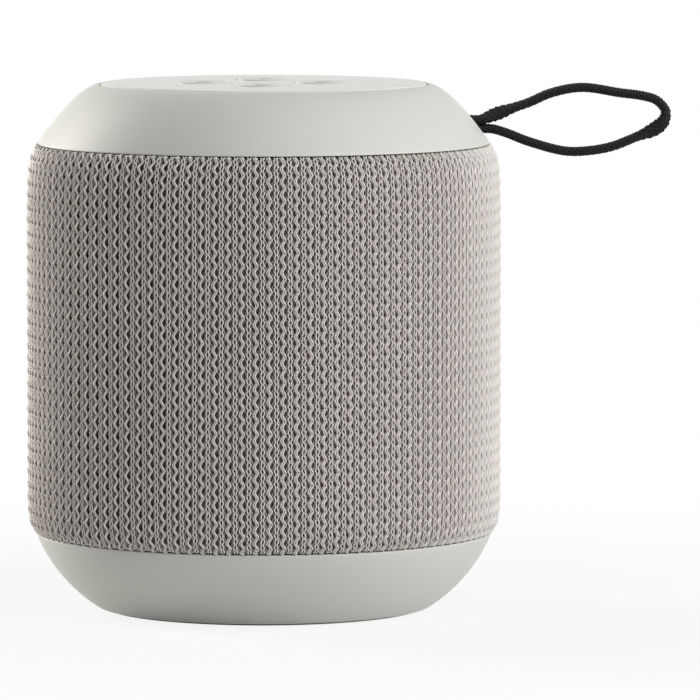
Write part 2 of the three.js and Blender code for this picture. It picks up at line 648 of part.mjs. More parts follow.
function makeBasket() {
  const collar = YOKE_RADIUS + SEAT;
  const collarTop = yokeRim - SEAT;
  const collarBottom = collarTop - COLLAR_HEIGHT;
  const shelfOuter = BASKET_RADIUS - 4.8;
  const profile = [
    at(collar, collarBottom),
    at(collar + COLLAR_WIDTH, collarBottom),
    at(collar + COLLAR_WIDTH, collarTop - BASKET_WALL),
    at(shelfOuter + BASKET_WALL, -SHELF_DEPTH - BASKET_WALL),
    at(BASKET_RADIUS, -BAFFLE_THICKNESS),
    at(BASKET_RADIUS, SEAT),
    at(FRAME_RADIUS, SEAT),
    at(FRAME_RADIUS, FRAME_THICKNESS),
    at(FRAME_BORE, FRAME_THICKNESS),
    at(FRAME_BORE, -BAFFLE_THICKNESS),
    at(shelfOuter, -SHELF_DEPTH),
    at(SHELF_BORE, -SHELF_DEPTH),
    at(SHELF_BORE, -SHELF_DEPTH - BASKET_WALL),
    at(shelfOuter - BASKET_WALL, -SHELF_DEPTH - BASKET_WALL),
    at(collar + BASKET_WALL, collarTop),
    at(collar, collarTop),
  ];
  let basket = turned(profile);
  const windowTop = -BAFFLE_THICKNESS - 1;
  const windowBottom = -SHELF_DEPTH + 1;
  const halfWidth = (Math.PI * shelfOuter) / BASKET_WINDOWS - 3;
  for (const { angle } of around(BASKET_WINDOWS, 1, 30)) {
    const tool = box([SHELF_BORE, -halfWidth, windowBottom], [FRAME_RADIUS, halfWidth, windowTop]);
    basket = basket.subtract(tool.rotate([0, 0, THREE.MathUtils.radToDeg(angle)]));
  }
  for (const { x, y } of around(DRIVER_SCREWS, DRIVER_SCREW_CIRCLE)) {
    basket = basket.subtract(post(DRIVER_SCREW_SHANK + SEAT, -1, FAR, x, y, SCREW_FACETS));
  }
  return part("driver_basket", basket, darkSteel);
}

function makeYoke() {
  const profile = [
    at(0, -DRIVER_DEPTH),
    at(YOKE_RADIUS, -DRIVER_DEPTH),
    at(YOKE_RADIUS, yokeRim),
    at(YOKE_BORE, yokeRim),
    at(YOKE_BORE, yokeFloor),
    at(0, yokeFloor),
  ];
  return part("driver_yoke", turned(profile), darkSteel);
}

function makeMagnet() {
  const bottom = yokeFloor + SEAT;
  return part("driver_magnet", ring(0, MAGNET_RADIUS, bottom, bottom + MAGNET_HEIGHT), magnetMetal);
}

function makePolePlate() {
  return part("driver_pole_plate", ring(0, POLE_RADIUS, yokeRim - POLE_HEIGHT, yokeRim), steel);
}

function makeVoiceCoil() {
  const windingBottom = coilBottom + FORMER_THICKNESS;
  const profile = [
    at(COIL_RADIUS, coilBottom),
    at(COIL_RADIUS + FORMER_THICKNESS, coilBottom),
    at(COIL_RADIUS + WINDING_THICKNESS, windingBottom),
    at(COIL_RADIUS + WINDING_THICKNESS, windingBottom + WINDING_HEIGHT),
    at(COIL_RADIUS + FORMER_THICKNESS, windingBottom + WINDING_HEIGHT + FORMER_THICKNESS),
    at(COIL_RADIUS + FORMER_THICKNESS, coneNeckZ + CONE_THICKNESS),
    at(COIL_RADIUS, coneNeckZ + CONE_THICKNESS),
  ];
  return part("voice_coil", turned(profile), copper);
}

function makeSpider() {
  const inner = COIL_RADIUS + FORMER_THICKNESS + SEAT;
  const outer = BASKET_RADIUS - 4.8 - CLEARANCE;
  const waveStart = inner + 1.6;
  const waveEnd = SHELF_BORE - CLEARANCE;
  const steps = 4;
  const wave = Array.from({ length: steps + 1 }, (_, i) => {
    const height = i % 2 === 1 ? 0.5 * (i % 4 === 1 ? 1 : -1) : 0;
    return at(waveStart + ((waveEnd - waveStart) * i) / steps, height);
  });
  const lower = [at(inner, 0), ...wave, at(outer, 0)];
  const upper = lower.map((point) => at(point.x, point.y + SPIDER_THICKNESS)).reverse();
  const mesh = part("driver_spider", turned([...lower, ...upper]), spiderCloth);
  mesh.position.z = -SHELF_DEPTH + SEAT;
  return mesh;
}

function makeCone() {
  const neck = COIL_RADIUS + FORMER_THICKNESS + SEAT;
  const lower = curve(
    at(neck, coneNeckZ),
    at(neck + 0.2 * CONE_RADIUS, coneNeckZ + 0.3 * (coneRimZ - coneNeckZ)),
    at(CONE_RADIUS - 0.2 * CONE_RADIUS, coneRimZ - 0.35 * (coneRimZ - coneNeckZ)),
    at(CONE_RADIUS, coneRimZ),
    3,
  );
  const upper = lower.map((point) => at(point.x, point.y + CONE_THICKNESS)).reverse();
  return part("driver_cone", turned([...lower, ...upper]), paperCone);
}

function makeDustCap() {
  const slope = (coneRimZ - coneNeckZ) / (CONE_RADIUS - COIL_RADIUS);
  const base = coneNeckZ + CONE_THICKNESS + SEAT + slope * (DUST_CAP_RADIUS - COIL_RADIUS);
  const dome = (radius, height) =>
    curve(at(0, base + height), at(0.5 * radius, base + height), at(0.9 * radius, base + 0.4 * height), at(radius, base), 4);
  const outside = dome(DUST_CAP_RADIUS, DUST_CAP_HEIGHT);
  const inside = dome(DUST_CAP_RADIUS - CONE_THICKNESS, DUST_CAP_HEIGHT - CONE_THICKNESS);
  return part("driver_dust_cap", turned([...outside, ...inside.reverse()]), paperCone);
}

function makeSurround() {
  const inner = CONE_RADIUS - SURROUND_FLANGE / 2;
  const body = rollRing(inner, ROLL_START, ROLL_END, SURROUND_RADIUS, SURROUND_THICKNESS, 1);
  const mesh = part("driver_surround", body, blackRubber);
  mesh.position.z = surroundZ;
  return mesh;
}

function makeGasket() {
  const bottom = surroundZ + SURROUND_THICKNESS + SEAT;
  const body = ring(ROLL_END + CLEARANCE, SURROUND_RADIUS, bottom, bottom + GASKET_THICKNESS);
  return part("driver_gasket", body, blackRubber);
}

function makeDriverScrews() {
  const length = FRAME_THICKNESS + BAFFLE_THICKNESS - CLEARANCE;
  return around(DRIVER_SCREWS, DRIVER_SCREW_CIRCLE).map(({ x, y }, i) => {
    const body = screw(DRIVER_SCREW_HEAD, DRIVER_SCREW_HEAD / 2, DRIVER_SCREW_SHANK, length);
    const mesh = part(`driver_screw_${i + 1}`, body, steel);
    mesh.rotation.x = Math.PI;
    mesh.position.set(x, y, FRAME_THICKNESS + SEAT);
    return mesh;
  });
}

function makeDriver() {
  const driver = new THREE.Group();
  driver.add(makeBasket(), makeYoke(), makeMagnet(), makePolePlate(), makeVoiceCoil(), makeSpider());
  driver.add(makeCone(), makeDustCap(), makeSurround(), makeGasket(), ...makeDriverScrews());
  driver.position.z = BAFFLE_Z;
  return driver;
}

// ---- Sound diffuser and main board ----

function makeDiffuser() {
  const flare = curve(
    at(0, DIFFUSER_Z - DIFFUSER_CONE_DROP),
    at(0.2 * DIFFUSER_CONE_RADIUS, DIFFUSER_Z - 0.9 * DIFFUSER_CONE_DROP),
    at(0.5 * DIFFUSER_CONE_RADIUS, DIFFUSER_Z),
    at(DIFFUSER_CONE_RADIUS, DIFFUSER_Z),
  );
  const rim = CAGE_BORE - CLEARANCE;
  let diffuser = turned([...flare, at(rim, DIFFUSER_Z), at(rim, DIFFUSER_TOP_Z), at(0, DIFFUSER_TOP_Z)]);
  for (const { x, y } of around(POSTS, BOARD_RADIUS - BOSS_RADIUS, 45)) {
    diffuser = diffuser.add(post(BOSS_RADIUS, DIFFUSER_Z + 1, DIFFUSER_TOP_Z + BOARD_LIFT, x, y));
  }
  const notch = HARNESS_RADIUS + CLEARANCE;
  const notchY = HARNESS_TOP_Y - notch;
  const tool = box([HARNESS_X - notch, notchY, DIFFUSER_Z - 1], [HARNESS_X + notch, FAR, DIFFUSER_TOP_Z + 1]);
  return part("sound_diffuser", diffuser.subtract(tool), darkPlastic);
}

function makeMainBoard() {
  return part("main_board", ring(0, BOARD_RADIUS, BOARD_Z, BOARD_TOP_Z), circuitBoard);
}

// The chips lie on the board between the keys, each turned to face the centre.
function makeChips() {
  const sizes = {
    bluetooth_module: [MODULE_SIZE, canAluminium],
    amplifier_chip: [AMPLIFIER_SIZE, chipEpoxy],
    power_inductor: [INDUCTOR_SIZE, darkSteel],
  };
  const places = around(4, CHIP_CIRCLE, 45);
  const chips = Object.entries(sizes).map(([name, [size, material]], i) => {
    const mesh = part(name, block(size, 0, 0, 0), material);
    mesh.rotation.z = places[i].angle + Math.PI / 2;
    mesh.position.set(places[i].x, places[i].y, BOARD_TOP_Z + SEAT);
    return mesh;
  });
  const capacitor = part("filter_capacitor", post(CAPACITOR_RADIUS, 0, CAPACITOR_HEIGHT), canAluminium);
  capacitor.position.set(places[3].x, places[3].y, BOARD_TOP_Z + SEAT);
  return [...chips, capacitor];
}

function makeStatusLight() {
  const lightZ = BOARD_TOP_Z + SEAT;
  const pipeZ = lightZ + LIGHT_SIZE[2] + SEAT;
  const light = part("status_light", block(LIGHT_SIZE, 0, -LIGHT_CIRCLE, lightZ), lightLens);
  const pipe = part("light_pipe", post(LIGHT_PIPE_RADIUS, pipeZ, PLATE_Z - SEAT, 0, -LIGHT_CIRCLE), clearPlastic);
  return [light, pipe];
}

// ---- Keys, switches and control plate ----

const keyPlaces = around(4, KEY_CIRCLE);
const keyNames = ["volume_up", "play", "volume_down", "power"];

function makeSwitch(name, { x, y }) {
  const bore = PLUNGER_RADIUS + CLEARANCE;
  const boreBottom = SWITCH_HEIGHT - PLUNGER_SUNK - KEY_TRAVEL - CLEARANCE;
  const body = block([SWITCH_SIZE, SWITCH_SIZE, SWITCH_HEIGHT], 0, 0, 0).subtract(post(bore, boreBottom, FAR));
  const mesh = part(`${name}_switch`, body, chipEpoxy);
  mesh.position.set(x, y, SWITCH_Z);
  return mesh;
}

function makePlunger(name, { x, y }) {
  const mesh = part(`${name}_plunger`, post(PLUNGER_RADIUS, -PLUNGER_SUNK, PLUNGER_PROUD), clearPlastic);
  mesh.position.set(x, y, SWITCH_Z + SWITCH_HEIGHT);
  return mesh;
}

function makeKey(name, { x, y }) {
  const height = TOP_Z + KEY_PROUD - KEY_Z;
  const flange = KEY_RADIUS + KEY_FLANGE_WIDTH;
  const profile = [
    at(0, 0),
    at(KEY_STEM_RADIUS, 0),
    at(KEY_STEM_RADIUS, STEM_LENGTH),
    at(flange, STEM_LENGTH),
    at(flange, STEM_LENGTH + KEY_FLANGE),
    at(KEY_RADIUS, STEM_LENGTH + KEY_FLANGE),
    at(KEY_RADIUS, height - KEY_EDGE_ROUND),
    at(KEY_RADIUS - KEY_EDGE_ROUND, height),
    at(KEY_RADIUS / 2, height - 0.7 * KEY_DISH),
    at(0, height - KEY_DISH),
  ];
  const mesh = part(`${name}_key`, turned(profile, SMALL_FACETS), keyRubber);
  mesh.position.set(x, y, KEY_Z);
  return mesh;
}

function makeControlPlate() {
  const edge = PLATE_EDGE_ROUND * (1 - Math.SQRT1_2);
  const profile = [
    at(0, PLATE_Z),
    at(CONTROL_PLATE_RADIUS, PLATE_Z),
    at(CONTROL_PLATE_RADIUS, TOP_Z - PLATE_EDGE_ROUND),
    at(CONTROL_PLATE_RADIUS - edge, TOP_Z - edge),
    at(CONTROL_PLATE_RADIUS - PLATE_EDGE_ROUND, TOP_Z),
    at(0, TOP_Z),
  ];
  let plate = turned(profile, SHELL_FACETS);
  for (const { x, y } of keyPlaces) {
    plate = plate.subtract(post(KEY_RADIUS + CLEARANCE, PLATE_Z - 1, TOP_Z + 1, x, y));
  }
  return part("control_plate", plate, platePlastic);
}

// ---- Top cap and strap ----

// The strap's slot, cut outwards from inside the cap in the strap's direction.
function strapCut(clearance, innerRadius) {
  const halfWidth = STRAP_WIDTH / 2 + clearance;
  const halfHeight = SLOT_HALF_HEIGHT - STRAP_SLOT_CLEARANCE + clearance;
  const low = [innerRadius, -halfWidth, STRAP_Z - halfHeight];
  return box(low, [FAR, halfWidth, STRAP_Z + halfHeight]).rotate([0, 0, STRAP_AZIMUTH]);
}

function makeTopCap() {
  const ledgeBore = PLATE_RECESS_RADIUS - PLATE_LEDGE;
  const ledgeBottom = PLATE_Z - SEAT - CAP_WALL;
  const roof = topCapInner.filter((point) => point.y > TOP_RIM_Z + CLEARANCE && point.y < ledgeBottom - CLEARANCE);
  const rimInner = radiusAt(topCapInner, TOP_RIM_Z);
  const profile = [
    ...topCapOuter,
    at(PLATE_RECESS_RADIUS, PLATE_Z - SEAT),
    at(ledgeBore, PLATE_Z - SEAT),
    at(ledgeBore, ledgeBottom),
    at(radiusAt(topCapInner, ledgeBottom), ledgeBottom),
    ...roof.reverse(),
    at(rimInner, TOP_RIM_Z),
  ];
  const cap = turned(profile, SHELL_FACETS);
  return part("top_cap", cap.subtract(strapCut(STRAP_SLOT_CLEARANCE, ledgeBore)), shellPlastic);
}

const crimpOuter = radiusAt(topCapInner, STRAP_Z + CRIMP_SIZE[2] / 2) - CLEARANCE;
const slotMouth = radiusAt(topCapOuter, STRAP_Z);

function makeStrapCrimp() {
  const mesh = part("strap_crimp", block(CRIMP_SIZE, crimpOuter - CRIMP_SIZE[0] / 2, 0, 0), steel);
  mesh.position.z = STRAP_Z - CRIMP_SIZE[2] / 2;
  return mesh;
}

// The strap runs out of the slot, round its far turn and back. Each row is the distance out of the
// slot's mouth and the height above the slot's middle.
const STRAP_RUN = [
  [1.1, 1.3],
  [3, 2.05],
  [7.1, 3.4],
  [10, 4.6],
  [14.2, 6.4],
  [20, 7.1],
  [27.3, 6.1],
  [31.6, 5.4],
  [34.2, 4.5],
  [35.9, 2.5],
  [35.5, 0.7],
  [34, -0.6],
  [30, -2.4],
  [25.8, -4],
  [21.5, -4.8],
  [17, -4.95],
  [10, -3.2],
  [5.6, -1.6],
  [2.8, -0.85],
];

function makeStrap() {
  const start = crimpOuter + CLEARANCE;
  const half = STRAND_SPACING / 2;
  const inside = [start, (start + slotMouth) / 2, slotMouth - CAP_WALL / 2];
  const route = [
    ...inside.map((reach) => [reach, 0, STRAP_Z + half]),
    ...STRAP_RUN.map(([reach, rise]) => [slotMouth + reach, 0, STRAP_Z + rise]),
    ...inside.reverse().map((reach) => [reach, 0, STRAP_Z - half]),
  ];
  const [w, t] = [STRAP_WIDTH / 2, STRAP_THICKNESS / 2];
  const corner = 0.5 * t;
  const section = new THREE.Shape([
    at(-t, corner - w),
    at(corner - t, -w),
    at(t - corner, -w),
    at(t, corner - w),
    at(t, w - corner),
    at(t - corner, w),
    at(corner - t, w),
    at(-t, w - corner),
  ]);
  return part("strap", swept(route, section, STRAP_STEPS), braid);
}

function makeStrapGroup() {
  const strap = new THREE.Group();
  strap.add(makeStrapCrimp(), makeStrap());
  strap.rotation.z = radians(STRAP_AZIMUTH);
  return strap;
}

// ---- Grille cage and fabric sleeve ----

// The outline of the port panel as a bar along +Y, widened all round by a margin.
function portBar(margin, from) {
  const corner = BEZEL_CORNER + margin;
  return roundedBar(BEZEL_WIDTH + 2 * margin, BEZEL_HEIGHT + 2 * margin, corner, from, FAR, PORT_HEIGHT_ABOVE_TABLE);
}

function makeCage() {
  const outside = cageOuter;
  const [first, last] = [outside[0], outside[outside.length - 1]];
  const lowStep = BOTTOM_CAP_HEIGHT + SEAT;
  const highStep = TOP_RIM_Z - SEAT;
  const profile = [
    at(bottomNeckRadius - NECK_WALL, bottomNeckZ),
    at(bottomNeckRadius, bottomNeckZ),
    at(bottomNeckRadius, lowStep),
    at(first.x, lowStep),
    ...outside,
    at(last.x, highStep),
    at(topNeckRadius, highStep),
    at(topNeckRadius, topNeckZ),
    at(topNeckRadius - NECK_WALL, topNeckZ),
    at(topNeckRadius - NECK_WALL, highStep - CAGE_WALL),
    at(CAGE_BORE, DIFFUSER_TOP_Z + 2 * CLEARANCE),
    at(CAGE_BORE, lowStep + 2.2 * CAGE_WALL),
    at(bottomNeckRadius - NECK_WALL, lowStep + CAGE_WALL),
  ];
  let cage = turned(profile, CAGE_FACETS);
  const bottom = SLEEVE_BOTTOM_Z + CAGE_SOLID_ENDS;
  const top = SLEEVE_TOP_Z - CAGE_SOLID_ENDS;
  const pitch = (top - bottom + CAGE_RING_HEIGHT) / CAGE_WINDOW_ROWS;
  const height = pitch - CAGE_RING_HEIGHT;
  const halfWidth = (Math.PI * CAGE_BORE) / CAGE_RIBS - CAGE_RIB_WIDTH / 2;
  const portReach = BEZEL_WIDTH / 2 + CAGE_WALL;
  const portHeight = BEZEL_HEIGHT / 2 + CAGE_WALL;
  for (let row = 0; row < CAGE_WINDOW_ROWS; row += 1) {
    const low = bottom + row * pitch;
    const besidePort = low < PORT_HEIGHT_ABOVE_TABLE + portHeight && low + height > PORT_HEIGHT_ABOVE_TABLE - portHeight;
    for (const { angle, x, y } of around(CAGE_RIBS, CAGE_BORE, 180 / CAGE_RIBS)) {
      if (besidePort && y > 0 && Math.abs(x) - halfWidth < portReach) continue;
      const tool = box([CAGE_BORE - CAGE_WALL, -halfWidth, low], [FAR, halfWidth, low + height]);
      cage = cage.subtract(tool.rotate([0, 0, THREE.MathUtils.radToDeg(angle)]));
    }
  }
  cage = cage.subtract(portBar(CLEARANCE, 0));
  return part("grille_cage", cage.subtract(strapCut(2 * CLEARANCE, 0)), darkPlastic);
}

function makeSleeve() {
  const sleeve = turned([...sleeveOuter, ...[...sleeveInner].reverse()], SHELL_FACETS);
  return part("fabric_sleeve", sleeve.subtract(portBar(CLEARANCE, 0)), knit);
}

// ---- Charging port ----

// A upright ring-shaped wall between two radii that is as tall as the port panel.
function portShell(inner, outer) {
  const half = BEZEL_HEIGHT / 2 + 1;
  return ring(inner, outer, PORT_HEIGHT_ABOVE_TABLE - half, PORT_HEIGHT_ABOVE_TABLE + half, 2 * SHELL_FACETS);
}

// An upright rod on the hinge axis that reaches equally far above and below the port's middle.
function hingeRod(radius, half) {
  return post(radius, PORT_HEIGHT_ABOVE_TABLE - half, PORT_HEIGHT_ABOVE_TABLE + half, HINGE_X, HINGE_Y, SCREW_FACETS);
}

const coverHalf = COVER_HEIGHT / 2 - CLEARANCE;

function makeBezel() {
  const pocketHalf = COVER_HEIGHT / 2;
  const low = [-COVER_WIDTH / 2, 0, PORT_HEIGHT_ABOVE_TABLE - pocketHalf];
  const pocket = box(low, [COVER_WIDTH / 2, FAR, PORT_HEIGHT_ABOVE_TABLE + pocketHalf]);
  const mouth = roundedBar(
    SOCKET_WIDTH + 2 * CLEARANCE,
    SOCKET_HEIGHT + 2 * CLEARANCE,
    SOCKET_HEIGHT / 2,
    0,
    FAR,
    PORT_HEIGHT_ABOVE_TABLE,
  );
  let bezel = portShell(CAGE_BORE, COVER_RADIUS + COVER_PROUD).intersect(portBar(0, 0));
  bezel = bezel.subtract(portShell(POCKET_RADIUS, FAR).intersect(pocket));
  bezel = bezel.subtract(hingeRod(HINGE_BARREL_RADIUS + CLEARANCE, pocketHalf));
  bezel = bezel.subtract(hingeRod(HINGE_PIN_RADIUS + SEAT, pocketHalf + HINGE_PIN_BITE + SEAT));
  const postX = SOCKET_WIDTH / 2 + PORT_POST_RADIUS + 2 * CLEARANCE;
  for (const side of [-1, 1]) {
    const rod = roundedBar(
      2 * PORT_POST_RADIUS,
      2 * PORT_POST_RADIUS,
      PORT_POST_RADIUS - 0.01,
      PORT_BOARD_Y + SEAT,
      CAGE_BORE,
      PORT_HEIGHT_ABOVE_TABLE,
    );
    bezel = bezel.add(rod.translate([side * postX, 0, 0]));
  }
  return part("port_bezel", bezel.subtract(mouth), darkPlastic);
}

function makePortCover() {
  const low = [-COVER_WIDTH / 2 + CLEARANCE, 0, PORT_HEIGHT_ABOVE_TABLE - coverHalf];
  const patch = box(low, [HINGE_X, FAR, PORT_HEIGHT_ABOVE_TABLE + coverHalf]);
  let cover = portShell(COVER_RADIUS - COVER_THICKNESS, COVER_RADIUS).intersect(patch);
  cover = cover.add(hingeRod(HINGE_BARREL_RADIUS, coverHalf));
  return part("port_cover", cover.subtract(hingeRod(HINGE_BORE_RADIUS, coverHalf + 1)), blackRubber);
}

function makeHingePin() {
  return part("port_hinge_pin", hingeRod(HINGE_PIN_RADIUS, COVER_HEIGHT / 2 + HINGE_PIN_BITE), steel);
}

function makePortBoard() {
  const [halfWidth, halfHeight] = [PORT_BOARD_WIDTH / 2, PORT_BOARD_HEIGHT / 2];
  const low = [-halfWidth, PORT_BOARD_Y - PORT_BOARD_THICKNESS, PORT_HEIGHT_ABOVE_TABLE - halfHeight];
  const high = [halfWidth, PORT_BOARD_Y, PORT_HEIGHT_ABOVE_TABLE + halfHeight];
  return part("port_board", box(low, high), circuitBoard);
}

function makeUsbSocket() {
  const bar = (width, height, front, back) =>
    roundedBar(width, height, 0.49 * height, front, back, PORT_HEIGHT_ABOVE_TABLE);
  const [start, floor] = [SOCKET_Y - SOCKET_DEPTH, SOCKET_Y - SOCKET_DEPTH + 1];
  const shell = bar(SOCKET_WIDTH, SOCKET_HEIGHT, start, SOCKET_Y);
  const hollow = bar(SOCKET_WIDTH - 2 * SOCKET_WALL, SOCKET_HEIGHT - 2 * SOCKET_WALL, floor, FAR);
  const tongue = bar(SOCKET_WIDTH - 8 * SOCKET_WALL, TONGUE_THICKNESS, start, SOCKET_Y - SOCKET_WALL);
  return part("usb_socket", shell.subtract(hollow).add(tongue), steel);
}

// ---- Wiring harness between the port board and the main board ----

function makeHarness() {
  const along = PORT_BOARD_Y + HARNESS_RADIUS + SEAT;
  const wallY = CHAMBER_RADIUS + SOUND_GAP / 2;
  const plugY = BOARD_RADIUS - HARNESS_PLUG_SIZE[1];
  const plugZ = SWITCH_Z + HARNESS_PLUG_SIZE[2] / 2;
  const portTop = PORT_HEIGHT_ABOVE_TABLE + PORT_BOARD_HEIGHT / 2;
  const route = [
    [HARNESS_X, along, portTop - HARNESS_BEND / 3],
    [HARNESS_X, along, portTop],
    [HARNESS_X, wallY, portTop + HARNESS_BEND],
    [HARNESS_X, wallY, BAFFLE_Z - BAFFLE_THICKNESS],
    [HARNESS_X, HARNESS_TOP_Y + 0.8, DIFFUSER_Z - 1],
    [HARNESS_X, HARNESS_TOP_Y, DIFFUSER_TOP_Z + 1],
    [HARNESS_X, plugY + HARNESS_BEND, plugZ],
    [HARNESS_X, plugY + HARNESS_PLUG_SIZE[1] / 2 + CLEARANCE, plugZ],
  ];
  const round = new THREE.Shape().absarc(0, 0, HARNESS_RADIUS, 0, FULL_TURN);
  const section = new THREE.Shape(round.getPoints(2).slice(0, -1));
  const harness = part("wiring_harness", swept(route, section, HARNESS_STEPS), blackRubber);
  const plug = part("harness_plug", block(HARNESS_PLUG_SIZE, HARNESS_X, plugY, SWITCH_Z), lightLens);
  return [harness, plug];
}

// ---- Assembly ----

const speaker = new THREE.Group();

const base = new THREE.Group();
base.add(makeFootPad(), makeBottomCap(), ...makeBaseScrews());

const chamber = new THREE.Group();
chamber.add(makeChamberShell(), makeChamberBaffle(), makeRadiatorSurround(), makeRadiatorPlate());
chamber.add(makeBatteryCell(), ...makeBatterySaddles(), makeDriver());

const electronics = new THREE.Group();
electronics.add(makeDiffuser(), makeMainBoard(), ...makeChips(), ...makeStatusLight(), ...makeHarness());

const controls = new THREE.Group();
controls.add(makeControlPlate());
keyNames.forEach((name, i) => {
  controls.add(makeSwitch(name, keyPlaces[i]), makePlunger(name, keyPlaces[i]), makeKey(name, keyPlaces[i]));
});

const port = new THREE.Group();
port.add(makeBezel(), makePortCover(), makeHingePin(), makePortBoard(), makeUsbSocket());

speaker.add(base, chamber, electronics, controls, port);
speaker.add(makeTopCap(), makeStrapGroup(), makeCage(), makeSleeve());

export default speaker;
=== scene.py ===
"""Looks of the round portable speaker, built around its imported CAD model. Metres, +Z up."""

import math

import bmesh
import bpy
import numpy as np
from mathutils import Matrix, Vector


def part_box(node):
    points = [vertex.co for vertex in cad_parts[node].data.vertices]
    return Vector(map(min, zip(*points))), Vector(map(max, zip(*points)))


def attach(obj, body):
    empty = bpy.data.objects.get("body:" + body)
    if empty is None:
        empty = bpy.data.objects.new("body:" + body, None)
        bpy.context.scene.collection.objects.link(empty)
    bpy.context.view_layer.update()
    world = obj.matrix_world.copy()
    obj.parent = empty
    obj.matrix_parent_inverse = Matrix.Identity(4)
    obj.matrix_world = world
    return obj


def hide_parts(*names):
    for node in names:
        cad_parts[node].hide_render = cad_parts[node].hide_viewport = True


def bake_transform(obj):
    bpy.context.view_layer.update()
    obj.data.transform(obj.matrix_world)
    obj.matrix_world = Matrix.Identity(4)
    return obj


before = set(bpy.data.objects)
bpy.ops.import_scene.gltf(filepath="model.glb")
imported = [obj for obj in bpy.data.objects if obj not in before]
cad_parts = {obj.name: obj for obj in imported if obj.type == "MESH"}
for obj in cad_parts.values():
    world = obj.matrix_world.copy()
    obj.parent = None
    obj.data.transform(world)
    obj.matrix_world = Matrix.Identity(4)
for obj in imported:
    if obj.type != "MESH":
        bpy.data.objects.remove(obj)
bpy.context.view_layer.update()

MM = 0.001
TAU = 2 * math.pi

# ---- Main dimensions in millimetres, as in the CAD model ----

SLEEVE_RADIUS = 43.977
CAGE_BORE = 40.977
TOP_RIM_RADIUS = 41.987
TOP_RIM_Z = 86.45
TOP_Z = 97.7
PLATE_Z = 95.7
PLATE_RADIUS = 30.2
PLATE_RECESS = 30.5
PLATE_RECESS_EDGE_Z = 97.54
LEDGE_BORE = 26.3
LEDGE_Z = 93.4
LEDGE_TOP_Z = 95.6
CAP_WALL = 2.2
BOTTOM_RIM_RADIUS = 42.402
BOTTOM_RIM_Z = 14.35
BOTTOM_EDGE_RADIUS = 30.8
FOOT_PROUD = 0.4
FOOT_RADIUS = 29.5
FOOT_TOP_Z = 1.4
PAD_RECESS_RADIUS = 29.8
PAD_RECESS_Z = 1.5
CAP_FLOOR_Z = 3.9
LEG_CIRCLE = 26.8
SCREW_HEAD_HOLE = 2.7
SCREW_HOLE = 1.55
KEY_CIRCLE = 11
KEY_RADIUS = 5
KEY_HOLE = 5.3
KEY_TOP_Z = 97.95
KEY_DISH = 0.15
STRAP_Z = 89.6
STRAP_AZIMUTH = math.radians(8)
PORT_Z = 32
BEZEL_WIDTH = 20.2
BEZEL_HEIGHT = 13.2
BEZEL_CORNER = 2.4
BEZEL_RADIUS = 44.577
POCKET_RADIUS = 42.177
POCKET_SIZE = (15, 8, 0.2)  # width, height and corner, as in the other sizes
MOUTH_SIZE = (9.54, 3.8, 1.6)
POST_SIZE = (2.6, 2.6, 1.29)
POST_PLACE = 6.37
POST_BACK = 37.677
COVER_RADIUS = 44.277
COVER_THICKNESS = 1.8
COVER_HALF_HEIGHT = 3.7
COVER_FREE_EDGE = -7.2
HINGE = (6.0, 42.819)
HINGE_RECESS = 1.35
HINGE_BARREL = 1.05
PANEL_PIN_HOLE = 0.5
COVER_PIN_HOLE = 0.6

# ---- Camera, world, lamps and floor ----


def linear(colour):
    """An sRGB colour from 0 to 255 as linear RGBA."""
    parts = [c / 255 for c in colour]
    return (*(p / 12.92 if p <= 0.04045 else ((p + 0.055) / 1.055) ** 2.4 for p in parts), 1)


def add_object(name, data):
    made = bpy.data.objects.new(name, data)
    bpy.context.scene.collection.objects.link(made)
    return made


camera = add_object("camera", bpy.data.cameras.new("camera"))
camera.location = (0.0160, -1.4076, 0.1690)
camera.rotation_euler = (math.radians(85.086), 0, 0)
camera.data.lens = 390.9
camera.data.sensor_width = 36
camera.data.clip_start = 0.05
camera.data.clip_end = 20
bpy.context.scene.camera = camera
bpy.context.scene.view_settings.view_transform = "Standard"


def lamp(name, azimuth, elevation, distance, size, power, colour):
    """A soft box that faces the object. Azimuth 0 is the camera's side and 90 is +X."""
    light = bpy.data.lights.new(name, "AREA")
    light.shape = "RECTANGLE"
    light.size, light.size_y = size
    light.energy = power
    light.color = linear(colour)[:3]
    made = add_object(name, light)
    a, e = math.radians(azimuth), math.radians(elevation)
    out = Vector((math.sin(a) * math.cos(e), -math.cos(a) * math.cos(e), math.sin(e)))
    aim = Vector((0, 0, 0.05))
    made.location = aim + out * distance
    made.rotation_euler = out.to_track_quat("Z", "Y").to_euler()


lamp("key_box", 50, 22, 1.5, (1.0, 1.3), 13.5, (255, 253, 251))
lamp("side_box", 85, 15, 1.5, (0.8, 1.3), 9, (250, 252, 255))
lamp("rim_box", -125, 10, 1.2, (0.35, 1.2), 21, (255, 251, 244))
lamp("top_box", 20, 78, 1.2, (1.1, 0.9), 4.2, (252, 253, 255))


def seen_directly(nodes, links):
    """1 where the camera, a gloss or a clear piece looks at the surface, and 0 where light falls."""
    path = nodes.new("ShaderNodeLightPath")
    value = path.outputs["Is Camera Ray"]
    for name in ("Is Glossy Ray", "Is Transmission Ray"):
        larger = nodes.new("ShaderNodeMath")
        larger.operation = "MAXIMUM"
        links.new(value, larger.inputs[0])
        links.new(path.outputs[name], larger.inputs[1])
        value = larger.outputs[0]
    return value


def end_in_mix(tree, kind, factor, first, second):
    """Ends a node tree in a mix of two shaders."""
    mix = tree.nodes.new("ShaderNodeMixShader")
    output = tree.nodes.new(kind)
    tree.links.new(factor, mix.inputs["Fac"])
    tree.links.new(first.outputs[0], mix.inputs[1])
    tree.links.new(second.outputs[0], mix.inputs[2])
    tree.links.new(mix.outputs[0], output.inputs["Surface"])


